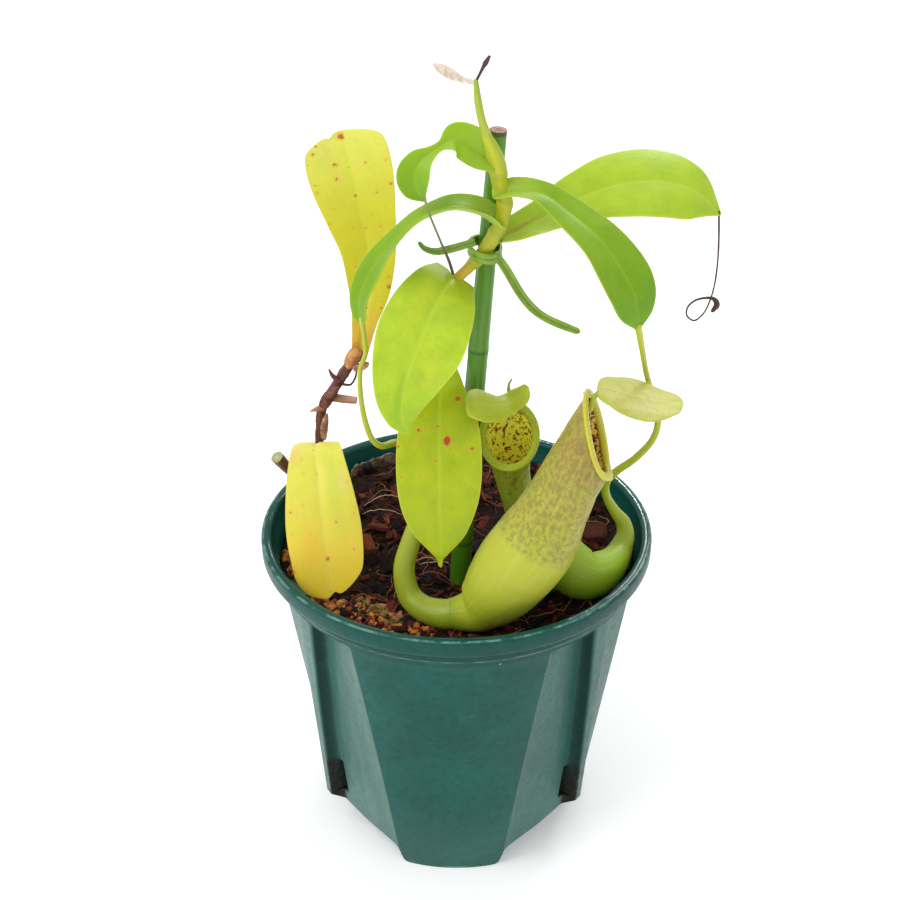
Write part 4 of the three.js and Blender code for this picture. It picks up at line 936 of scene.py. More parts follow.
stalks = {
    "stake": {
        "node": "bamboo_stake", "slot": "stake_bamboo", "look": "stakeGreen", "ends": ["cut", "cut"],
        "relief": swellings((38, 1.2, 0.05), (96, 1.2, 0.05)), "sides": 36,
        "stations": [[-0.8, -9, 52, 2.65], [4.6, -9, 136, 2.6], [9.8, -9, 207.5, 2.15]]},
    "mainStalk": {
        "node": "main_stem", "slot": "stem", "look": "stemYellow", "rows": 240,
        "relief": swellings((99, 1.6, 0.12), (109, 1.5, 0.22), (118, 1.3, 0.2), (126, 1.2, 0.15),
                            (134, 1.2, 0.2)),
        "stations": [[-7, 12, 72, 2.1], [-5, 6, 103, 2], [-4, 1, 122.5, 1.9], [-3, -5, 144, 1.8],
                     [-2, -10, 159.5, 1.7], [-0.5, -13.8, 169, 1.35], [2.7, -13.8, 173, 1.35],
                     [5.9, -13.9, 176.8, 1.6], [8.2, -13.9, 180.5, 1.85], [10.2, -13.8, 184, 1.8],
                     [11.2, -13.8, 188, 1.8], [11.4, -13.8, 192, 1.8], [10.5, -13.8, 196, 1.65],
                     [9.6, -13.8, 200, 1.85], [8.5, -13.8, 204, 1.7], [6.8, -13.8, 208, 1.2]]},
    "growingShoot": {
        "node": "growing_tip", "slot": "growing_tip", "look": "tipGreen",
        "stations": [[7.5, -13.8, 206.5, 1.25], [5.8, -13.9, 212, 1], [4.9, -14, 216.5, 0.95],
                     [4.3, -14, 222, 0.6]]},
    "dryTipBud": {
        "node": "dry_tip", "slot": "dry_brown", "look": "dryDark", "relief": wrinkles(0.2), "sides": 16,
        "stations": [[4.2, -14, 221.5, 0.35], [5.8, -14, 225, 0.4], [6.6, -14, 226.5, 0.65],
                     [7.4, -14, 228, 0.35]]},
    "oldStalk": {
        "node": "old_stem", "slot": "dry_brown", "look": "dryBrown", "rows": 200, "sides": 36,
        "relief": wrinkles(0.16),
        "stations": [[-37, 20, 72, 1.7], [-37.6, 20, 94, 1.4], [-37.5, 20, 103.5, 1.2], [-37, 20, 110, 1.2],
                     [-36, 20, 114.5, 1.35], [-33.6, 20, 118.5, 1.35], [-31, 20, 123, 1.4],
                     [-28.5, 20.5, 127, 1.5], [-26.4, 21, 129.7, 1.7]]},
    "brokenStub": {
        "node": "old_stem_stub", "slot": "dry_brown", "look": "stubTan", "ends": ["round", "cut"],
        "relief": wrinkles(0.12), "rows": 60, "sides": 24,
        "stations": [[-34, 20, 117, 1.2], [-30.5, 19.5, 116.7, 1.1], [-27, 19, 116.5, 1]]},
    "prunedShoot": {
        "node": "cut_side_stem", "slot": "cut_stem", "look": "cutBrown", "ends": ["round", "cut"],
        "relief": wrinkles(0.06), "sides": 32,
        "stations": [[-37.6, 20, 88.5, 1.5], [-42.3, 19.5, 91, 1.6], [-46, 18, 95.5, 1.6],
                     [-48.8, 15, 101, 1.7]]},
    "tendrilLoop": {
        "node": "tendril_left", "slot": "tendril", "look": "tendrilGreen", "ends": ["round", "cut"],
        "rows": 240, "stations": bothTendrils["left"]["tendril"] + bothTendrils["left"]["pitcher"][:3],
        "span": (0, 19 / 21)},
    "tendrilBow": {
        "node": "tendril_right", "slot": "tendril", "look": "tendrilGreen", "ends": ["round", "cut"],
        "rows": 240, "stations": bothTendrils["right"]["tendril"] + bothTendrils["right"]["pitcher"][:3],
        "span": (0, 13 / 15)},
    "curledTendril": {
        "node": "dry_tendril_right", "slot": "dry_brown", "look": "dryDark", "rows": 260, "sides": 12,
        "relief": wrinkles(0.12, 3),
        "stations": [[66.2, 9.8, 177, 0.3], [66.6, 9.2, 169, 0.25], [66.6, 9, 162.5, 0.23],
                     [66.2, 9, 156.5, 0.22], [65.3, 9, 152, 0.22], [63.8, 8, 149, 0.22],
                     [61.4, 7, 147.4, 0.24], [59.4, 7, 148.8, 0.24], [59.6, 8, 150.8, 0.26],
                     [61.8, 9.2, 152.2, 0.28], [65, 10.8, 152, 0.38], [66.8, 11.2, 151.3, 0.6],
                     [67.5, 11.4, 149.7, 0.8], [66.5, 11.4, 147.9, 0.5]]},
    "hangingTendril": {
        "node": "dry_tendril_upper", "slot": "dry_brown", "look": "dryPale", "rows": 160, "sides": 12,
        "relief": wrinkles(0.1, 3),
        "stations": [[-7.7, -19.6, 195, 0.34], [-7.3, -21.8, 193.4, 0.3], [-6.2, -23, 190.8, 0.28],
                     [-4.8, -22, 186.5, 0.28], [-3.4, -19.6, 181.5, 0.32], [-2, -17.6, 177, 0.4],
                     [-1, -16.2, 172.8, 0.36]]},
    # small dry pieces on the old stem, and the spurs behind the lids
    "lowSpike": {
        "slot": "dry_brown", "look": "stubTan", "sides": 12, "rows": 40,
        "stations": [[-36, 19, 114.2, 1], [-37.8, 18.8, 113.9, 0.7], [-39.4, 18.8, 113.3, 0.25]]},
    "highSpike": {
        "slot": "dry_brown", "look": "dryBrown", "sides": 12, "rows": 40,
        "stations": [[-31.6, 19, 122.6, 0.9], [-33.2, 18.8, 124.3, 0.6], [-34.1, 18.8, 126.1, 0.25]]},
    "darkCurl": {
        "slot": "dry_brown", "look": "dryDark", "sides": 10, "rows": 60,
        "stations": [[-30.6, 18.6, 121.8, 0.4], [-28.5, 18, 122, 0.3], [-27.2, 17.8, 124, 0.3],
                     [-26.7, 17.8, 126.2, 0.25]]},
    # the base of the upper leaf wraps the stem as a flattened sheath
    "clasp": {
        "slot": "leaf_green", "look": "sheathGreen", "sides": 40, "rows": 100, "relief": flattened(0.28),
        "aim": [1, -0.2, 0.3],
        "stations": [[10.2, -13.9, 194.5, 1.4], [9.9, -13.9, 197.5, 1.6], [9.4, -13.9, 200.4, 1.85],
                     [8.6, -14, 203.2, 1.75], [7.6, -14, 206, 1.35], [6.5, -14, 208.8, 1]]},
    "largeSpur": {
        "slot": "large_pitcher", "look": "tendrilGreen", "sides": 12, "rows": 40,
        "stations": [[33, -24.6, 139.4, 0.8], [33.6, -24.2, 141.8, 0.6], [35.2, -23.8, 143.6, 0.8],
                     [37, -23.8, 144, 1]]},
    "largeHook": {
        "slot": "large_pitcher", "look": "dryDark", "sides": 10, "rows": 40,
        "stations": [[33.2, -24, 141.6, 0.4], [31.9, -23.8, 142.6, 0.28], [31.4, -23.8, 143.6, 0.18]]},
    "smallSpur": {
        "slot": "small_pitcher", "look": "tendrilGreen", "sides": 12, "rows": 40,
        "stations": [[13.6, -7.6, 130.5, 0.9], [13.5, -8.6, 134, 0.7], [13.2, -9.4, 137.4, 0.35],
                     [13.9, -9.6, 139.4, 0.2]]},
}
for name, stalk in stalks.items():
    points, marks = stalkShell(stalk)
    place(name, gridMesh(name, points, marks), stemMaterials[stalk["look"]], stalk["slot"],
          stalk.get("node"))
print("stems made")


# The rolled lip, as steps out from the mouth's edge and up along the mouth's axis.
lipProfile = np.array([(0, 0), (0.4, -0.2), (1, -0.35), (1.6, -0.1), (1.9, 0.4), (1.8, 0.9), (1.3, 1.25),
                       (0.6, 1.4), (-0.2, 1.35), (-0.9, 1), (-1.3, 0.4), (-1.4, -0.4), (-1.1, -1.2)])
pitchers = {
    "large_pitcher": {
        "stations": bothTendrils["left"]["tendril"][-2:] + bothTendrils["left"]["pitcher"],
        "span": (2 / 12, 1), "mouth": [0.94, -0.2, 0.28], "rampFrom": 0.6, "lip": 0.72, "wall": 0.9,
        "deep": 0.4, "rows": 200, "sides": 96, "peak": 1.2, "wings": [(2.4, 0.45), (-2.9, 0.3)],
        "look": {"joint": rgb(148, 166, 32), "low": rgb(180, 192, 46), "middle": rgb(186, 190, 58),
                 "high": rgb(170, 154, 64), "hip": 0.53, "hipSoft": 0.016, "mottle": rgb(128, 98, 66),
                 "mottleLow": 0.44, "mottleDepth": 0.56, "lip": rgb(202, 198, 60),
                 "inside": rgb(214, 196, 100), "insideSpots": rgb(112, 36, 20), "spotLow": 0.44}},
    "small_pitcher": {
        "stations": bothTendrils["right"]["tendril"][-2:] + bothTendrils["right"]["pitcher"],
        "span": (2 / 13, 1), "mouth": [-0.05, -0.72, 0.68], "rampFrom": 0.78, "lip": 0.62, "wall": 0.9,
        "deep": 0.45, "rows": 180, "sides": 84, "peak": 0.8, "wings": [(2.6, 0.3), (-2.6, 0.3)],
        "look": {"joint": rgb(148, 166, 32), "low": rgb(156, 194, 38), "middle": rgb(150, 176, 40),
                 "high": rgb(150, 156, 40), "hip": 0.66, "hipSoft": 0.06, "mottle": rgb(116, 84, 40),
                 "mottleLow": 0.5, "mottleDepth": 0.7, "lip": rgb(172, 184, 40),
                 "inside": rgb(210, 212, 58), "insideSpots": rgb(108, 28, 14), "spotLow": 0.474}},
}


# Outer wall along the path, then the lip profile round the mouth, then the inner wall back
# down to its own closed bottom. The mouth's edge is drawn up to a low peak under the lid.
def pitcherShell(pitcher):
    def relief(length, turn, share):
        wings = sum(h * np.exp(-(((turn - at + math.pi) % (2 * math.pi) - math.pi) / 0.1) ** 2)
                    for at, h in pitcher["wings"])
        spot = stacked(length * 0.12, np.cos(turn), np.sin(turn))
        uneven = 0.018 * layeredNoise(spot * 1.5, 8, 2)
        return (0.04 * wings + uneven) * smoothStep(0, 0.15, share) * (1 - smoothStep(0.9, 1, share))

    centre, offset, along, where = stalkRings(dict(pitcher, relief=relief))
    mouth = unit(np.array(pitcher["mouth"], float))
    width = np.linalg.norm(offset, axis=-1, keepdims=True)
    peak = pitcher["peak"] * np.exp(-((where[..., 1:2] / 0.5) ** 2))
    lifted = peak * smoothStep(0.8, 1, where[..., 2:3])
    outer = centre[:, None] + offset + lifted * mouth
    direction = offset[-1] / width[-1]
    steps = lipProfile * pitcher["lip"]
    lip = outer[-1][None] + steps[:, 0, None, None] * direction + steps[:, 1, None, None] * mouth
    inward = np.maximum(1 - pitcher["wall"] / width, 0.05)
    rows = len(outer)
    down = np.arange(int(rows * 0.985), int(rows * pitcher["deep"]), -1)
    inner = (centre[:, None] + offset * inward + lifted * mouth)[down]
    bottom = centre[down[-1]] + (offset * inward)[down[-1]] * np.array([0.9, 0.7, 0.4, 0.03])[:, None, None]
    bottom = bottom - along[down[-1]] * np.array([0.5, 1.1, 1.6, 1.8])[:, None, None]
    points = np.concatenate([outer, lip[1:], inner, bottom])
    marks = [where, np.repeat(where[-1:], len(lip) - 1, 0), where[down], np.repeat(where[down[-1:]], 4, 0)]
    lipZone = np.linspace(0.5, 1.5, len(lip) - 1)
    zone = np.concatenate([np.zeros(rows), lipZone, np.full(len(down) + 4, 2.0)])
    return points, {"place": np.concatenate(marks), "zone": zone[:, None] * np.ones(points.shape[1])}


# Pitcher tissue: plain below the hip and mottled above it, a smooth glossy lip, and dense
# dark spots with pale halos inside, over painted shade that deepens towards the bottom and a
# painted glow for light through the wall.
def pitcherMaterial(name, look):
    material, tree, shader = newMaterial(name, Subsurface_Weight=0.1, Subsurface_Scale=0.0015,
                                         Coat_Weight=0.06, Coat_Roughness=0.25, Specular_IOR_Level=0.35)
    spot = objectMm(tree)
    along, turn, share = parts(markOf(tree, "place"))
    zone = addNode(tree, "ShaderNodeAttribute", attribute_name="zone")["Fac"]
    colour = blended(ranged(share, 0.0, 0.1), look["joint"], look["low"])
    colour = blended(ranged(share, 0.08, 0.5), colour, look["middle"])
    colour = blended(ranged(share, 0.5, 1.0), colour, look["high"])
    soft = noise(spot, 0.09, 3.0)
    greener = tuple(np.add(look["low"], rgb(160, 186, 40)) / 2)
    colour = blended(ranged(soft, 0.35, 0.7, 0.0, 0.35), colour, greener)
    wavy = (noise(spot, 0.35, 3.0) - 0.5) * 0.05 + share
    above = ranged(wavy, look["hip"] - look["hipSoft"], look["hip"] + look["hipSoft"])
    patches = noise(stretched(spot, (1.0, 1.0, 0.7)), 0.85, 4.0, 0.7, 0.3)
    mottled = ranged(patches, look["mottleLow"] - 0.02, look["mottleLow"] + 0.15, 0.14, 1.0)
    mottled = mottled * above * look["mottleDepth"]
    colour = blended(mottled, colour, look["mottle"])
    strands = noise(joined(along * 0.05, turn * 7.0, 0.0), 1.0, 3.0)
    colour = blended(ranged(strands, 0.5, 0.75, 0.0, 0.22), colour, rgb(222, 222, 130))
    lipMask = ranged(zone, 0.35, 0.6) * ranged(zone, 1.95, 1.6)
    colour = blended(lipMask, colour, look["lip"])
    inside = ranged(zone, 1.6, 1.95)
    # Painted shade: the inside darkens towards its bottom.
    deep = blended(ranged(share, 0.9, 0.5, 0.0, 0.5), look["inside"], rgb(60, 50, 20))
    colour = blended(inside, colour, deep)
    speckle = noise(spot, 0.95, 4.0, 0.6, 0.6)
    ringed = ranged(speckle, look["spotLow"], look["spotLow"] + 0.05) * inside
    core = ranged(speckle, look["spotLow"] + 0.07, look["spotLow"] + 0.1) * inside
    colour = blended(ringed * 0.4, colour, rgb(190, 140, 70))
    colour = blended(core, colour, look["insideSpots"])
    # painted light: the inside glows by emission, standing in for daylight through the thin wall
    feed(shader, {"Base Color": colour, "Emission Color": blended(inside, (0, 0, 0, 1), colour),
                  "Emission Strength": 0.18, "Roughness": ranged(lipMask, 0.0, 1.0, 0.42, 0.26)})
    fine = noise(spot, 1.4, 4.0, 0.6)
    lines = maths("SINE", turn * 60.0) * lipMask
    height = fine * 0.1 + strands * 0.12
    bumped(shader, lines * 0.03 + height)
    return material


for node, pitcher in pitchers.items():
    points, marks = pitcherShell(pitcher)
    place(node.replace("_p", "P"), gridMesh(node, points, marks), pitcherMaterial(node, pitcher["look"]),
          node, node)

lidLook = {"base": rgb(186, 184, 72), "middle": rgb(190, 190, 94), "tip": rgb(194, 194, 100),
           "rib": rgb(206, 204, 100), "margin": rgb(176, 186, 80), "blotch": 0.3, "veins": 0.6,
           "under": 0.1, "glow": 0.08}
lids = {
    "large_pitcher_lid": {
        "cup": -0.1, "fold": 0.05, "tipRound": 0.08, "baseRound": 0.06,
        "face": [[0, 0, 1], [0.35, -0.05, 1]], "wave": 0.4, "waveLength": 3.2, "thickness": 0.9,
        "keel": 0.5, "crumple": 0.12, "creaseScale": 0.5,
        "look": dict(lidLook,
                     spots=[{"cell": 1.9, "least": 0.15, "most": 0.7, "share": 0.5, "soft": 0.6,
                             "colour": rgb(172, 158, 92), "depth": 0.45}]),
        "rib": [[34.6, -23.4, 145, 4.6], [37.8, -23.7, 144.5, 7], [41.6, -24, 143.3, 8.6],
                [45.4, -24, 142.1, 9], [49.1, -24, 141.1, 8.2], [52.9, -24, 140.8, 6.2],
                [56.2, -24, 140.9, 3.4]]},
    "small_pitcher_lid": {
        "cup": -0.22, "fold": 0.03, "tipRound": 0.06, "baseRound": 0.02, "wave": 0.25, "waveLength": 3,
        "thickness": 0.8, "groove": 0.1,
        "face": [[-0.5, -0.7, 0.6], [0, -0.6, 0.8], [0, -0.6, 0.8], [0, -0.6, 0.8], [0.1, -0.6, 0.8]],
        "look": dict(lidLook, base=rgb(190, 198, 44), middle=rgb(170, 184, 40), tip=rgb(166, 182, 40),
                     rib=rgb(176, 194, 64), margin=rgb(190, 206, 80)),
        "rib": [[17.5, -14, 140.3, 0.7], [16.2, -15, 138.2, 2.5], [13.9, -16.5, 137, 2.9],
                [11.6, -18.5, 137.1, 3.4], [9.1, -20.5, 138.1, 4.3], [6.2, -22.8, 139.8, 4.6],
                [3.8, -24.5, 140.8, 3.6], [2.3, -25.2, 141.4, 2.2]]},
}
for node, lid in lids.items():
    points, marks = bladeShell(lid)
    place(node, gridMesh(node, points, marks), leafMaterial(node, lid["look"]), "lid", node)
print("pitchers made")


tie = {"middle": [6.8, -11.4, 177], "halfX": 3.9, "halfY": 5.3, "drop": 0.15, "width": 2.9,
       "thickness": 0.9, "dark": rgb(104, 144, 14), "light": rgb(140, 172, 40), "groove": rgb(52, 84, 10)}


# An oval band round stake and stem: a rounded rectangle carried round the oval, with a raised
# cord along both edges.
def tieBand(band):
    angle = np.linspace(0, 2 * math.pi, 96, endpoint=False)
    section = np.linspace(0, 2 * math.pi, 20, endpoint=False)
    out = np.sign(np.cos(section)) * np.abs(np.cos(section)) ** 0.5 * band["thickness"] / 2
    rise = np.sign(np.sin(section)) * np.abs(np.sin(section)) ** 0.5 * band["width"] / 2
    out = out * (0.75 + 0.45 * np.abs(rise) * 2 / band["width"])
    x = (band["halfX"] + out) * np.cos(angle)[:, None]
    y = (band["halfY"] + out) * np.sin(angle)[:, None]
    z = rise - band["drop"] * band["halfX"] * np.cos(angle)[:, None]
    return stacked(x, y, z) + band["middle"], {"place": stacked(angle[:, None] * 5, rise, 0.5)}


def tieMaterial():
    material, tree, shader = newMaterial("tieGreen", Roughness=0.4, Coat_Weight=0.2, Coat_Roughness=0.3)
    where = markOf(tree, "place")
    across = parts(where)[1]
    grain = noise(stretched(where, (0.4, 3.0, 1.0)), 1.0, 3.0)
    colour = blended(ranged(grain, 0.3, 0.7), tie["dark"], tie["light"])
    colour = blended(ranged(abs(across), 0.4, 0.1, 0.0, 0.4), colour, tie["groove"])
    feed(shader, {"Base Color": colour})
    bumped(shader, grain * 0.08)
    return material


tieGreen = tieMaterial()
points, marks = tieBand(tie)
place("tieBand", gridMesh("tieBand", points, marks, looped=True), tieGreen, "tie", "stake_tie")
tails = {"tailLeft": [[4.4, -14, 180.4, 0.9], [1.2, -14.2, 179.4, 1], [-2.7, -14.3, 178.3, 1],
                      [-5.6, -14.3, 177.9, 0.85], [-8, -14.2, 178.7, 0.7], [-9.4, -14.2, 180.4, 0.45]],
         "tailRight": [[9.6, -15, 177, 1], [12, -14.6, 173, 1.1], [15.5, -14.4, 166.5, 1.1],
                       [18.5, -14.3, 162.4, 1.1], [21.8, -14.2, 159.6, 1], [26, -14.1, 157.4, 1],
                       [30.6, -14, 155.4, 0.8]]}
for name, rib in tails.items():
    tail = {"rib": rib, "face": [[0.2, -1, 0.3], [0.2, -1, 0.3]], "cup": 0.25, "fold": 0, "tipRound": 0.04,
            "thickness": 0.9, "groove": 0.25, "keel": 0.1, "wave": 0, "rows": 90, "across": 16}
    points, marks = bladeShell(tail)
    place(name, gridMesh(name, points, marks), tieGreen, "tie")
print("tie made")


def dryMaterial(name, look):
    material, tree, shader = newMaterial(name, Roughness=0.8)
    patches = noise(objectMm(tree), 0.5, 4.0, 0.65)
    fine = noise(objectMm(tree), 2.4, 4.0, 0.7)
    colour = blended(ranged(patches, 0.35, 0.68), look["dark"], look["light"])
    colour = blended(ranged(fine, 0.56, 0.78, 0.0, 0.5), colour, look["spot"])
    feed(shader, {"Base Color": colour})
    bumped(shader, fine * 0.35)
    return material


scraps = {
    "paperyScrap": {
        "node": "dry_papery_leaf", "slot": "papery", "dark": rgb(236, 218, 196),
        "light": rgb(252, 244, 230), "spot": rgb(206, 168, 134), "cup": 0.5, "fold": 0.1, "tipRound": 0.2,
        "baseRound": 0.1, "wave": 0.3, "waveLength": 1.2, "crumple": 0.35, "creaseScale": 0.9,
        "face": [[0.3, -1, 0.6], [0.3, -1, 0.6]],
        "rib": [[4.2, -14, 221.4, 0.5], [1, -14, 222.3, 0.85], [-1.7, -14, 223.6, 1.25],
                [-4.1, -14, 225, 1.15], [-5.9, -14, 226.2, 0.7]]},
    "stemSheath": {
        "node": "old_stem_sheath", "slot": "sheath", "dark": rgb(196, 122, 74), "light": rgb(226, 166, 104),
        "spot": rgb(140, 80, 54), "cup": -0.6, "fold": 0, "tipRound": 0.25, "baseRound": 0.25, "wave": 0.1,
        "crumple": 0.2, "creaseScale": 0.8,
        "face": [[0.2, -1, 0.2], [0.2, -1, 0.2]],
        "rib": [[-29, 18.2, 126.6, 1.5], [-27.6, 18.1, 129.6, 1.9], [-26, 18.6, 132.6, 1.5]]},
    "rightFlap": {
        "slot": "dry_brown", "dark": rgb(150, 92, 70), "light": rgb(206, 156, 130), "spot": rgb(96, 58, 46),
        "cup": 0.4, "fold": 0.2, "tipRound": 0.2, "baseRound": 0.1, "wave": 0.2, "waveLength": 1.5,
        "crumple": 0.25, "creaseScale": 0.8,
        "face": [[0.3, -1, 0.5], [0.5, -1, 0.6]],
        "rib": [[-27.6, 18.4, 127, 1], [-25.4, 18, 127.6, 1.1], [-23.4, 18, 128.8, 0.8]]},
    "lowFlap": {
        "slot": "dry_brown", "dark": rgb(150, 104, 88), "light": rgb(206, 168, 150),
        "spot": rgb(110, 70, 60), "cup": -0.6, "fold": 0, "tipRound": 0.3, "baseRound": 0.1, "wave": 0.1,
        "crumple": 0.2, "creaseScale": 0.8,
        "face": [[0.6, -1, 0.2], [0.6, -1, 0.2]],
        "rib": [[-35.9, 18.9, 104, 0.9], [-35.6, 18.8, 108, 1.2], [-35, 18.8, 112.6, 0.7]]},
    "highBract": {
        "slot": "dry_brown", "dark": rgb(96, 54, 46), "light": rgb(150, 98, 82), "spot": rgb(70, 42, 38),
        "cup": -0.6, "fold": 0, "tipRound": 0.3, "baseRound": 0.1, "wave": 0.1, "crumple": 0.2,
        "creaseScale": 0.8, "face": [[0.2, -1, 0.1], [-0.2, -1, 0.1]],
        "rib": [[-36, 18.4, 114, 1.4], [-34.4, 18, 117.8, 1.6], [-31.6, 17.8, 121.6, 0.8]]},
}
for name, scrap in scraps.items():
    points, marks = bladeShell(dict(scrap, keel=0.1, groove=0, rows=70, across=20))
    place(name, gridMesh(name, points, marks), dryMaterial(name, scrap), scrap["slot"], scrap.get("node"))
print("dry pieces made")


mix = {"level": 79, "slope": 0.09, "swell": 0.42, "edge": 47.6, "floorGap": 0.3, "seed": 11,
       "browns": (rgb(10, 4, 3), rgb(40, 18, 12), rgb(84, 40, 26))}


def mixHeight(x, y):
    swell = np.sin(0.31 * x + 0.12 * y) + np.sin(0.27 * y - 0.17 * x + 1.3)
    return mix["level"] + mix["slope"] * y + mix["swell"] * swell


# Top: rings spreading from the middle, roughened by noise that fades at the wall. Side: rings
# that follow the pot's inner wall down to its floor.
def makeMixMesh():
    around = np.linspace(0, 2 * math.pi, 432, endpoint=False)
    low, ledge = pot["collarBottom"], pot["collarBottom"] + 1.3

    def innerRadius(height):
        wall = potRing(pot["wall"] + 0.25, min(height, low))
        angle = np.arctan2(wall[:, 1], wall[:, 0])
        order = np.argsort(angle)
        radius = np.interp(around, angle[order], np.hypot(wall[:, 0], wall[:, 1])[order],
                           period=2 * math.pi)
        return between(radius, mix["edge"], np.clip((height - low - 0.2) / (ledge - low), 0, 1))

    heights = np.linspace(70, 84, 57)
    table = np.array([innerRadius(h) for h in heights])
    edgeHeight = mixHeight(0.97 * mix["edge"] * np.cos(around), 0.97 * mix["edge"] * np.sin(around)) - 0.3

    def read(height):
        level = np.clip((height - heights[0]) / (heights[1] - heights[0]), 0, len(heights) - 1.001)
        row, column = level.astype(int), np.arange(len(around))
        return between(table[row, column], table[row + 1, column], level - row)

    rings = np.linspace(0.01, 1, 110)[:, None] ** 0.8
    radii = read(edgeHeight)[None] * rings
    flat = polar(radii, around)
    x, y = flat[..., 0], flat[..., 1]
    fade = 1 - smoothStep(0.93, 1, rings)
    rough = 0.9 * layeredNoise(flat * 0.22, 3, 3) + 0.55 * np.abs(layeredNoise(flat * 0.8, 9, 2))
    rough = rough + 0.2 * np.abs(layeredNoise(flat * 2.1, 4, 2))
    height = mixHeight(x, y) - 0.3
    top = stacked(x, y, between(edgeHeight, height, fade) + rough * fade)

    def side(share):
        height = between(edgeHeight, heights[0] + 0.2, share)
        return polar(read(height), around, height)

    sides = [side(share) for share in np.linspace(0.04, 1, 14)]
    lower = np.linspace(68.5, pot["floorTop"] + mix["floorGap"], 22)
    sides += [polar(innerRadius(z), around, z) for z in lower]
    bottom = [sides[-1] * [k, k, 1] for k in (0.7, 0.02)]
    mix["around"], mix["reach"] = around, radii[-1]
    return gridMesh("pottingMix", np.concatenate([top, np.array(sides), np.array(bottom)]))


# Three browns, or without them one tint for each chip or thread, kept in an attribute.
def mixMaterial(name, relief, browns=None):
    material, tree, shader = newMaterial(name, Roughness=0.85, Specular_IOR_Level=0.25)
    spot = objectMm(tree)
    fine = noise(spot, 1.9, 5.0, 0.7)
    if browns:
        patches = noise(spot, 0.35, 5.0, 0.7)
        colour = blended(ranged(patches, 0.35, 0.62), browns[0], browns[1])
        colour = blended(ranged(fine, 0.52, 0.7, 0.0, 0.7), colour, browns[2])
    else:
        tint = addNode(tree, "ShaderNodeAttribute", attribute_name="tint")["Color"]
        darker = blended(1.0, tint, (0.45, 0.4, 0.36, 1), "MULTIPLY")
        colour = blended(ranged(fine, 0.3, 0.7, 0.0, 0.35), tint, darker)
    feed(shader, {"Base Color": colour})
    bumped(shader, fine * relief)
    return material


place("pottingMix", makeMixMesh(), mixMaterial("mixGround", 0.6, mix["browns"]), "potting_mix",
      "potting_mix")

tintedMix = mixMaterial("mixPieces", 0.3)
chipTints = {"dark": rgb(28, 12, 9), "brown": rgb(58, 28, 18), "red": rgb(98, 38, 26),
             "rust": rgb(134, 62, 34), "tan": rgb(190, 126, 74), "orange": rgb(204, 122, 50),
             "olive": rgb(128, 108, 50), "pale": rgb(222, 190, 160), "pink": rgb(178, 104, 88),
             "black": rgb(12, 5, 4)}


def tintsOf(names, dice, spread=0.2):
    base = np.array([chipTints[n][:3] for n in names])
    return base * (1 + dice.uniform(-spread, spread, (len(names), 1)))


# Each batch of chips: how many, their sizes and colours, and the rings or places they lie in.
batches = [{"count": 900, "size": (0.35, 1.15), "flat": 0.6,
            "names": ["dark", "brown", "red", "dark", "black", "rust"], "rings": (0, 46.5)},
           {"count": 110, "size": (1.2, 2.9), "flat": 0.45,
            "names": ["dark", "brown", "red", "black", "dark"], "rings": (4, 45)},
           {"count": 360, "size": (0.35, 1.15), "flat": 0.75,
            "names": ["orange", "tan", "rust", "orange", "tan", "brown"],
            "spots": [(-46, 0, 2.5), (-44.5, -8, 2.8), (-41, -14, 3), (-37, -19, 3.2), (-31, -24, 3.6),
                      (-23, -28, 4), (-15, -31, 4), (-8, -32, 3.5), (-38, -26, 3.5), (-28, -35, 4),
                      (-14, -40, 4)]},
           {"count": 90, "size": (0.45, 1.15), "flat": 0.8, "names": ["olive", "olive", "tan", "olive"],
            "spots": [(-23.5, -20.5, 2.2), (-20.5, -22.5, 2.2), (-18.5, -25, 2.4), (-16.5, -27, 2.2)]},
           {"count": 90, "size": (0.7, 2.2), "flat": 0.45, "names": ["red", "rust", "pink", "red"],
            "spots": [(2, -36, 5), (10, -38, 4), (28, 0, 5), (-30, 4, 5), (-22, 10, 6), (-10, -20, 5),
                      (0, -30, 4), (36, 6, 4)]}]


# Points on the surface drawn in from the wall by a margin.
def keptInside(xy, margin):
    azimuth, away = np.arctan2(xy[..., 1], xy[..., 0]), np.hypot(xy[..., 0], xy[..., 1])
    reach = np.interp(azimuth, mix["around"], mix["reach"], period=2 * math.pi) - margin
    return xy * np.minimum(1, reach / np.maximum(away, 0.01))[..., None]


def makeChips():
    dice = np.random.default_rng(mix["seed"])
    clouds, tints = [], []
    for batch in batches:
        count = batch["count"]
        if "spots" in batch:
            spots = np.array(batch["spots"])[dice.integers(0, len(batch["spots"]), count)]
            xy = spots[:, :2] + dice.normal(0, 1, (count, 2)) * spots[:, 2:] * 0.6
        else:
            low, high = batch["rings"]
            radius = np.sqrt(dice.uniform(low**2, high**2, count))
            angle = dice.uniform(0, 2 * math.pi, count)
            xy = polar(radius, angle)[:, :2]
        size = between(*batch["size"], dice.random(count) ** 2)
        xy = keptInside(xy, 0.8 * size + 0.4)
        sizes = size[:, None] * np.column_stack([dice.uniform(0.8, 1.5, count), dice.uniform(0.6, 1, count),
                                                 np.full(count, batch["flat"])])
        centres = np.column_stack([xy, mixHeight(*xy.T) + 0.25 * size])
        turns = np.column_stack([dice.normal(0, 0.4, count), dice.normal(0, 0.4, count),
                                 dice.uniform(0, 6.3, count)])
        clouds.append(lumpCloud(centres, sizes, turns, mix["seed"], rows=5, sides=7))
        names = [batch["names"][i] for i in dice.integers(0, len(batch["names"]), count)]
        tints.append(tintsOf(names, dice))
    points, tint = np.concatenate(clouds), np.concatenate(tints)
    return points, {"tint": tint[:, None, None] * np.ones(points.shape)}


points, marks = makeChips()
place("mixChips", gridMesh("mixChips", points, marks), tintedMix, "potting_mix", crisp=38)

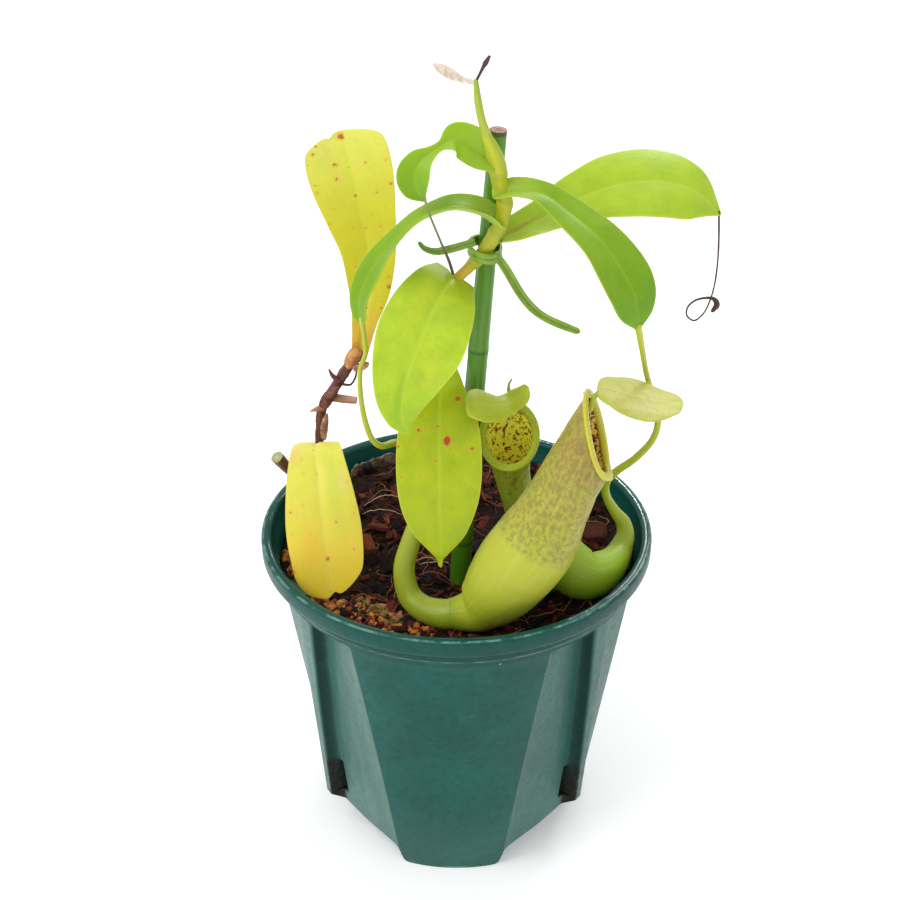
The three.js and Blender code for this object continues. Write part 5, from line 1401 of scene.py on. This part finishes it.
# Threads of root and husk: many thin ones strewn, and a few long roots that stand out.
threads = [{"count": 420, "length": (4, 14), "radius": (0.05, 0.12), "lift": (0.2, 1.8),
            "names": ["tan", "brown", "rust", "pink", "red"]},
           {"count": 90, "length": (10, 24), "radius": (0.06, 0.13), "lift": (0.5, 3.5),
            "names": ["tan", "rust", "pink", "brown", "red"]}]
roots = {"starts": [(-29, 16), (-27, 20), (-26, 22), (-14, -5), (-12, -6), (-11, -10), (33, 3), (6, -36),
                    (24, 12)],
         "headings": [0.25, 0.45, 0.35, 0.05, 0.3, 0.1, 1.2, 0.3, 0.2],
         "lengths": [14, 13, 11, 11, 12, 10, 15, 14, 16],
         "radii": [0.14, 0.18, 0.12, 0.12, 0.15, 0.1, 0.18, 0.15, 0.15],
         "lift": [2.5, 3, 4, 1.6, 1, 2, 3, 0.8, 1.5],
         "names": ["pale", "pale", "tan", "pale", "pale", "pink", "pale", "tan", "tan"]}


def makeThreads():
    dice = np.random.default_rng(mix["seed"] + 1)
    clouds, tints = [], []
    for batch in threads:
        count = batch["count"]
        radius, angle = 44 * np.sqrt(dice.random(count)), dice.uniform(0, 2 * math.pi, count)
        starts = polar(radius, angle)[:, :2]
        length = dice.uniform(*batch["length"], count)
        heading = dice.uniform(0, 2 * math.pi, count)
        middle = starts + 0.5 * length[:, None] * polar(1, heading)[:, :2]
        inward = np.arctan2(-starts[:, 1], -starts[:, 0]) + dice.normal(0, 0.7, count)
        heading = np.where(np.hypot(*middle.T) > 38, inward, heading)
        clouds.append(threadCloud(starts, heading, length, dice.uniform(*batch["radius"], count),
                                  dice.uniform(*batch["lift"], count), mixHeight, mix["seed"] + 2))
        tints.append(tintsOf([batch["names"][i] for i in dice.integers(0, len(batch["names"]), count)],
                             dice))
    clouds.append(threadCloud(np.array(roots["starts"], float), roots["headings"], roots["lengths"],
                              roots["radii"], roots["lift"], mixHeight, mix["seed"] + 3, wander=0.1))
    tints.append(tintsOf(roots["names"], dice))
    points, tint = np.concatenate(clouds), np.concatenate(tints)
    points[..., :2] = keptInside(points[..., :2], 0.6)
    return points, {"tint": tint[:, None, None] * np.ones(points.shape)}


points, marks = makeThreads()
place("mixThreads", gridMesh("mixThreads", points, marks), tintedMix, "potting_mix")


# Ten larger pieces of bark, each a broken block that fills the box of its solid.
def makeBark(names):
    boxes = np.array([[list(c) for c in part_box(n)] for n in names]) / mm - [potAxis, 0, 0]
    centre, half = boxes.mean(1), (boxes[:, 1] - boxes[:, 0]) / 2
    count = len(names)
    dice = np.random.default_rng(mix["seed"] + 4)
    turns = np.column_stack([dice.normal(0, 0.12, (count, 2)), dice.uniform(-0.6, 0.6, count)])
    points = lumpCloud(np.zeros((count, 3)), half, turns, 21, rows=24, sides=36, rough=0.16, squareness=0.4)
    points = points + 0.25 * layeredNoise((points + centre[:, None, None]) * 1.1, 31, 2)[..., None]
    low, high = points.min((1, 2), keepdims=True), points.max((1, 2), keepdims=True)
    points = ((points - low) / (high - low) * 2 - 1) * half[:, None, None] + centre[:, None, None]
    tones = ["red", "brown", "rust", "red", "brown"] * 2
    return points, {"tint": tintsOf(tones, dice)[:, None, None] * np.ones(points.shape)}


barkNodes = [f"bark_{i}" for i in range(1, 11)]
points, marks = makeBark(barkNodes)
place("barkPieces", gridMesh("barkPieces", points, marks), mixMaterial("bark", 0.9), "bark", *barkNodes,
      crisp=40)

husk = {"radius": 45.6, "from": 111, "to": 131, "low": 80, "high": 86.2, "thickness": 0.8,
        "dark": rgb(84, 62, 52), "light": rgb(160, 140, 126), "spot": rgb(70, 48, 40)}


# A strip of husk on edge along the wall: an arc with a ragged top and a wavy face.
def makeHusk():
    azimuth = np.radians(np.linspace(husk["from"], husk["to"], 70))[:, None]
    turn = np.linspace(0, 2 * math.pi, 30, endpoint=False)[None]
    up = np.sign(np.sin(turn)) * np.abs(np.sin(turn)) ** 0.3
    out = np.sign(np.cos(turn)) * np.abs(np.cos(turn)) ** 0.7 * husk["thickness"] / 2
    share = np.linspace(0, 1, 70)[:, None]
    end = np.sqrt(np.clip(1 - np.abs(2 * share - 1) ** 5, 0.02, 1))
    ragged = 0.7 * layeredNoise(stacked(share * 9, 0, 0), 2)
    middle, half = (husk["low"] + husk["high"]) / 2, (husk["high"] - husk["low"]) / 2
    z = middle + up * half * (0.2 + 0.8 * end) + ragged * np.clip(up, 0, 1) - 0.4 * np.clip(up, 0, 1)
    radius = husk["radius"] + out * end + 0.35 * layeredNoise(stacked(azimuth * 30, z * 0.4, 0), 6)
    return polar(radius, azimuth, z)


place("huskStrip", gridMesh("huskStrip", makeHusk()), dryMaterial("husk", husk), "husk", "husk_strip")
print("potting mix made")

# Lengths in millimetres, the elevation in degrees.
view = {"aim": (potAxis - 1.74, 0, 112.45), "distance": 600, "elevation": 31.46, "lens": 91, "sensor": 36}
camera = linked("camera", bpy.data.cameras.new("camera"))
lean = math.radians(view["elevation"])
back = Vector((0, -math.cos(lean), math.sin(lean)))
camera.location = (Vector(view["aim"]) + back * view["distance"]) * mm
camera.rotation_euler = (-back).to_track_quat("-Z", "Y").to_euler()
camera.data.lens = view["lens"]
camera.data.sensor_width = view["sensor"]
bpy.context.scene.camera = camera

# reach and drop are in metres.
backdrop = {"reach": 20, "drop": 0.00005, "tone": (0.95, 0.955, 0.96, 1), "glow": 0.22}
floor = bpy.data.meshes.new("floor")
corners = [(-1, -1), (1, -1), (1, 1), (-1, 1)]
floor.from_pydata([(x * backdrop["reach"], y * backdrop["reach"], -backdrop["drop"]) for x, y in corners],
                  [], [(0, 1, 2, 3)])
floorMaterial, _, floorShader = newMaterial("floorPaper", Roughness=0.9, Specular_IOR_Level=0.1)
feed(floorShader, {"Base Color": backdrop["tone"], "Emission Color": (1, 1, 1, 1),
                   "Emission Strength": backdrop["glow"]})
floor.materials.append(floorMaterial)
linked("floor", floor)


# at and aim are in metres, power is in watts.
lights = {"windowLight": {"at": (-0.7, -0.4, 1.0), "aim": (0, 0, 0.1), "size": 0.8, "power": 6},
          "rimLight": {"at": (potAxis * mm + 0.185, 1.64, 1.085), "aim": (0.05, 0.02, 0.088),
                       "size": 0.12, "power": 2},
          "backLight": {"at": (0.45, 0.8, 0.9), "aim": (0, 0, 0.1), "size": 0.5, "power": 4}}
for name, light in lights.items():
    lamp = bpy.data.lights.new(name, "AREA")
    lamp.shape, lamp.size, lamp.energy = "DISK", light["size"], light["power"]
    holder = linked(name, lamp)
    holder.location = light["at"]
    aim = Vector(light["aim"]) - Vector(light["at"])
    holder.rotation_euler = aim.to_track_quat("-Z", "Y").to_euler()

world = bpy.data.worlds.new("room")
bpy.context.scene.world = world
world.use_nodes = True
feed(world.node_tree.nodes["Background"], {"Color": (1, 1, 1, 1), "Strength": 0.78})
bpy.context.scene.view_settings.view_transform = "Standard"

print("scene made")
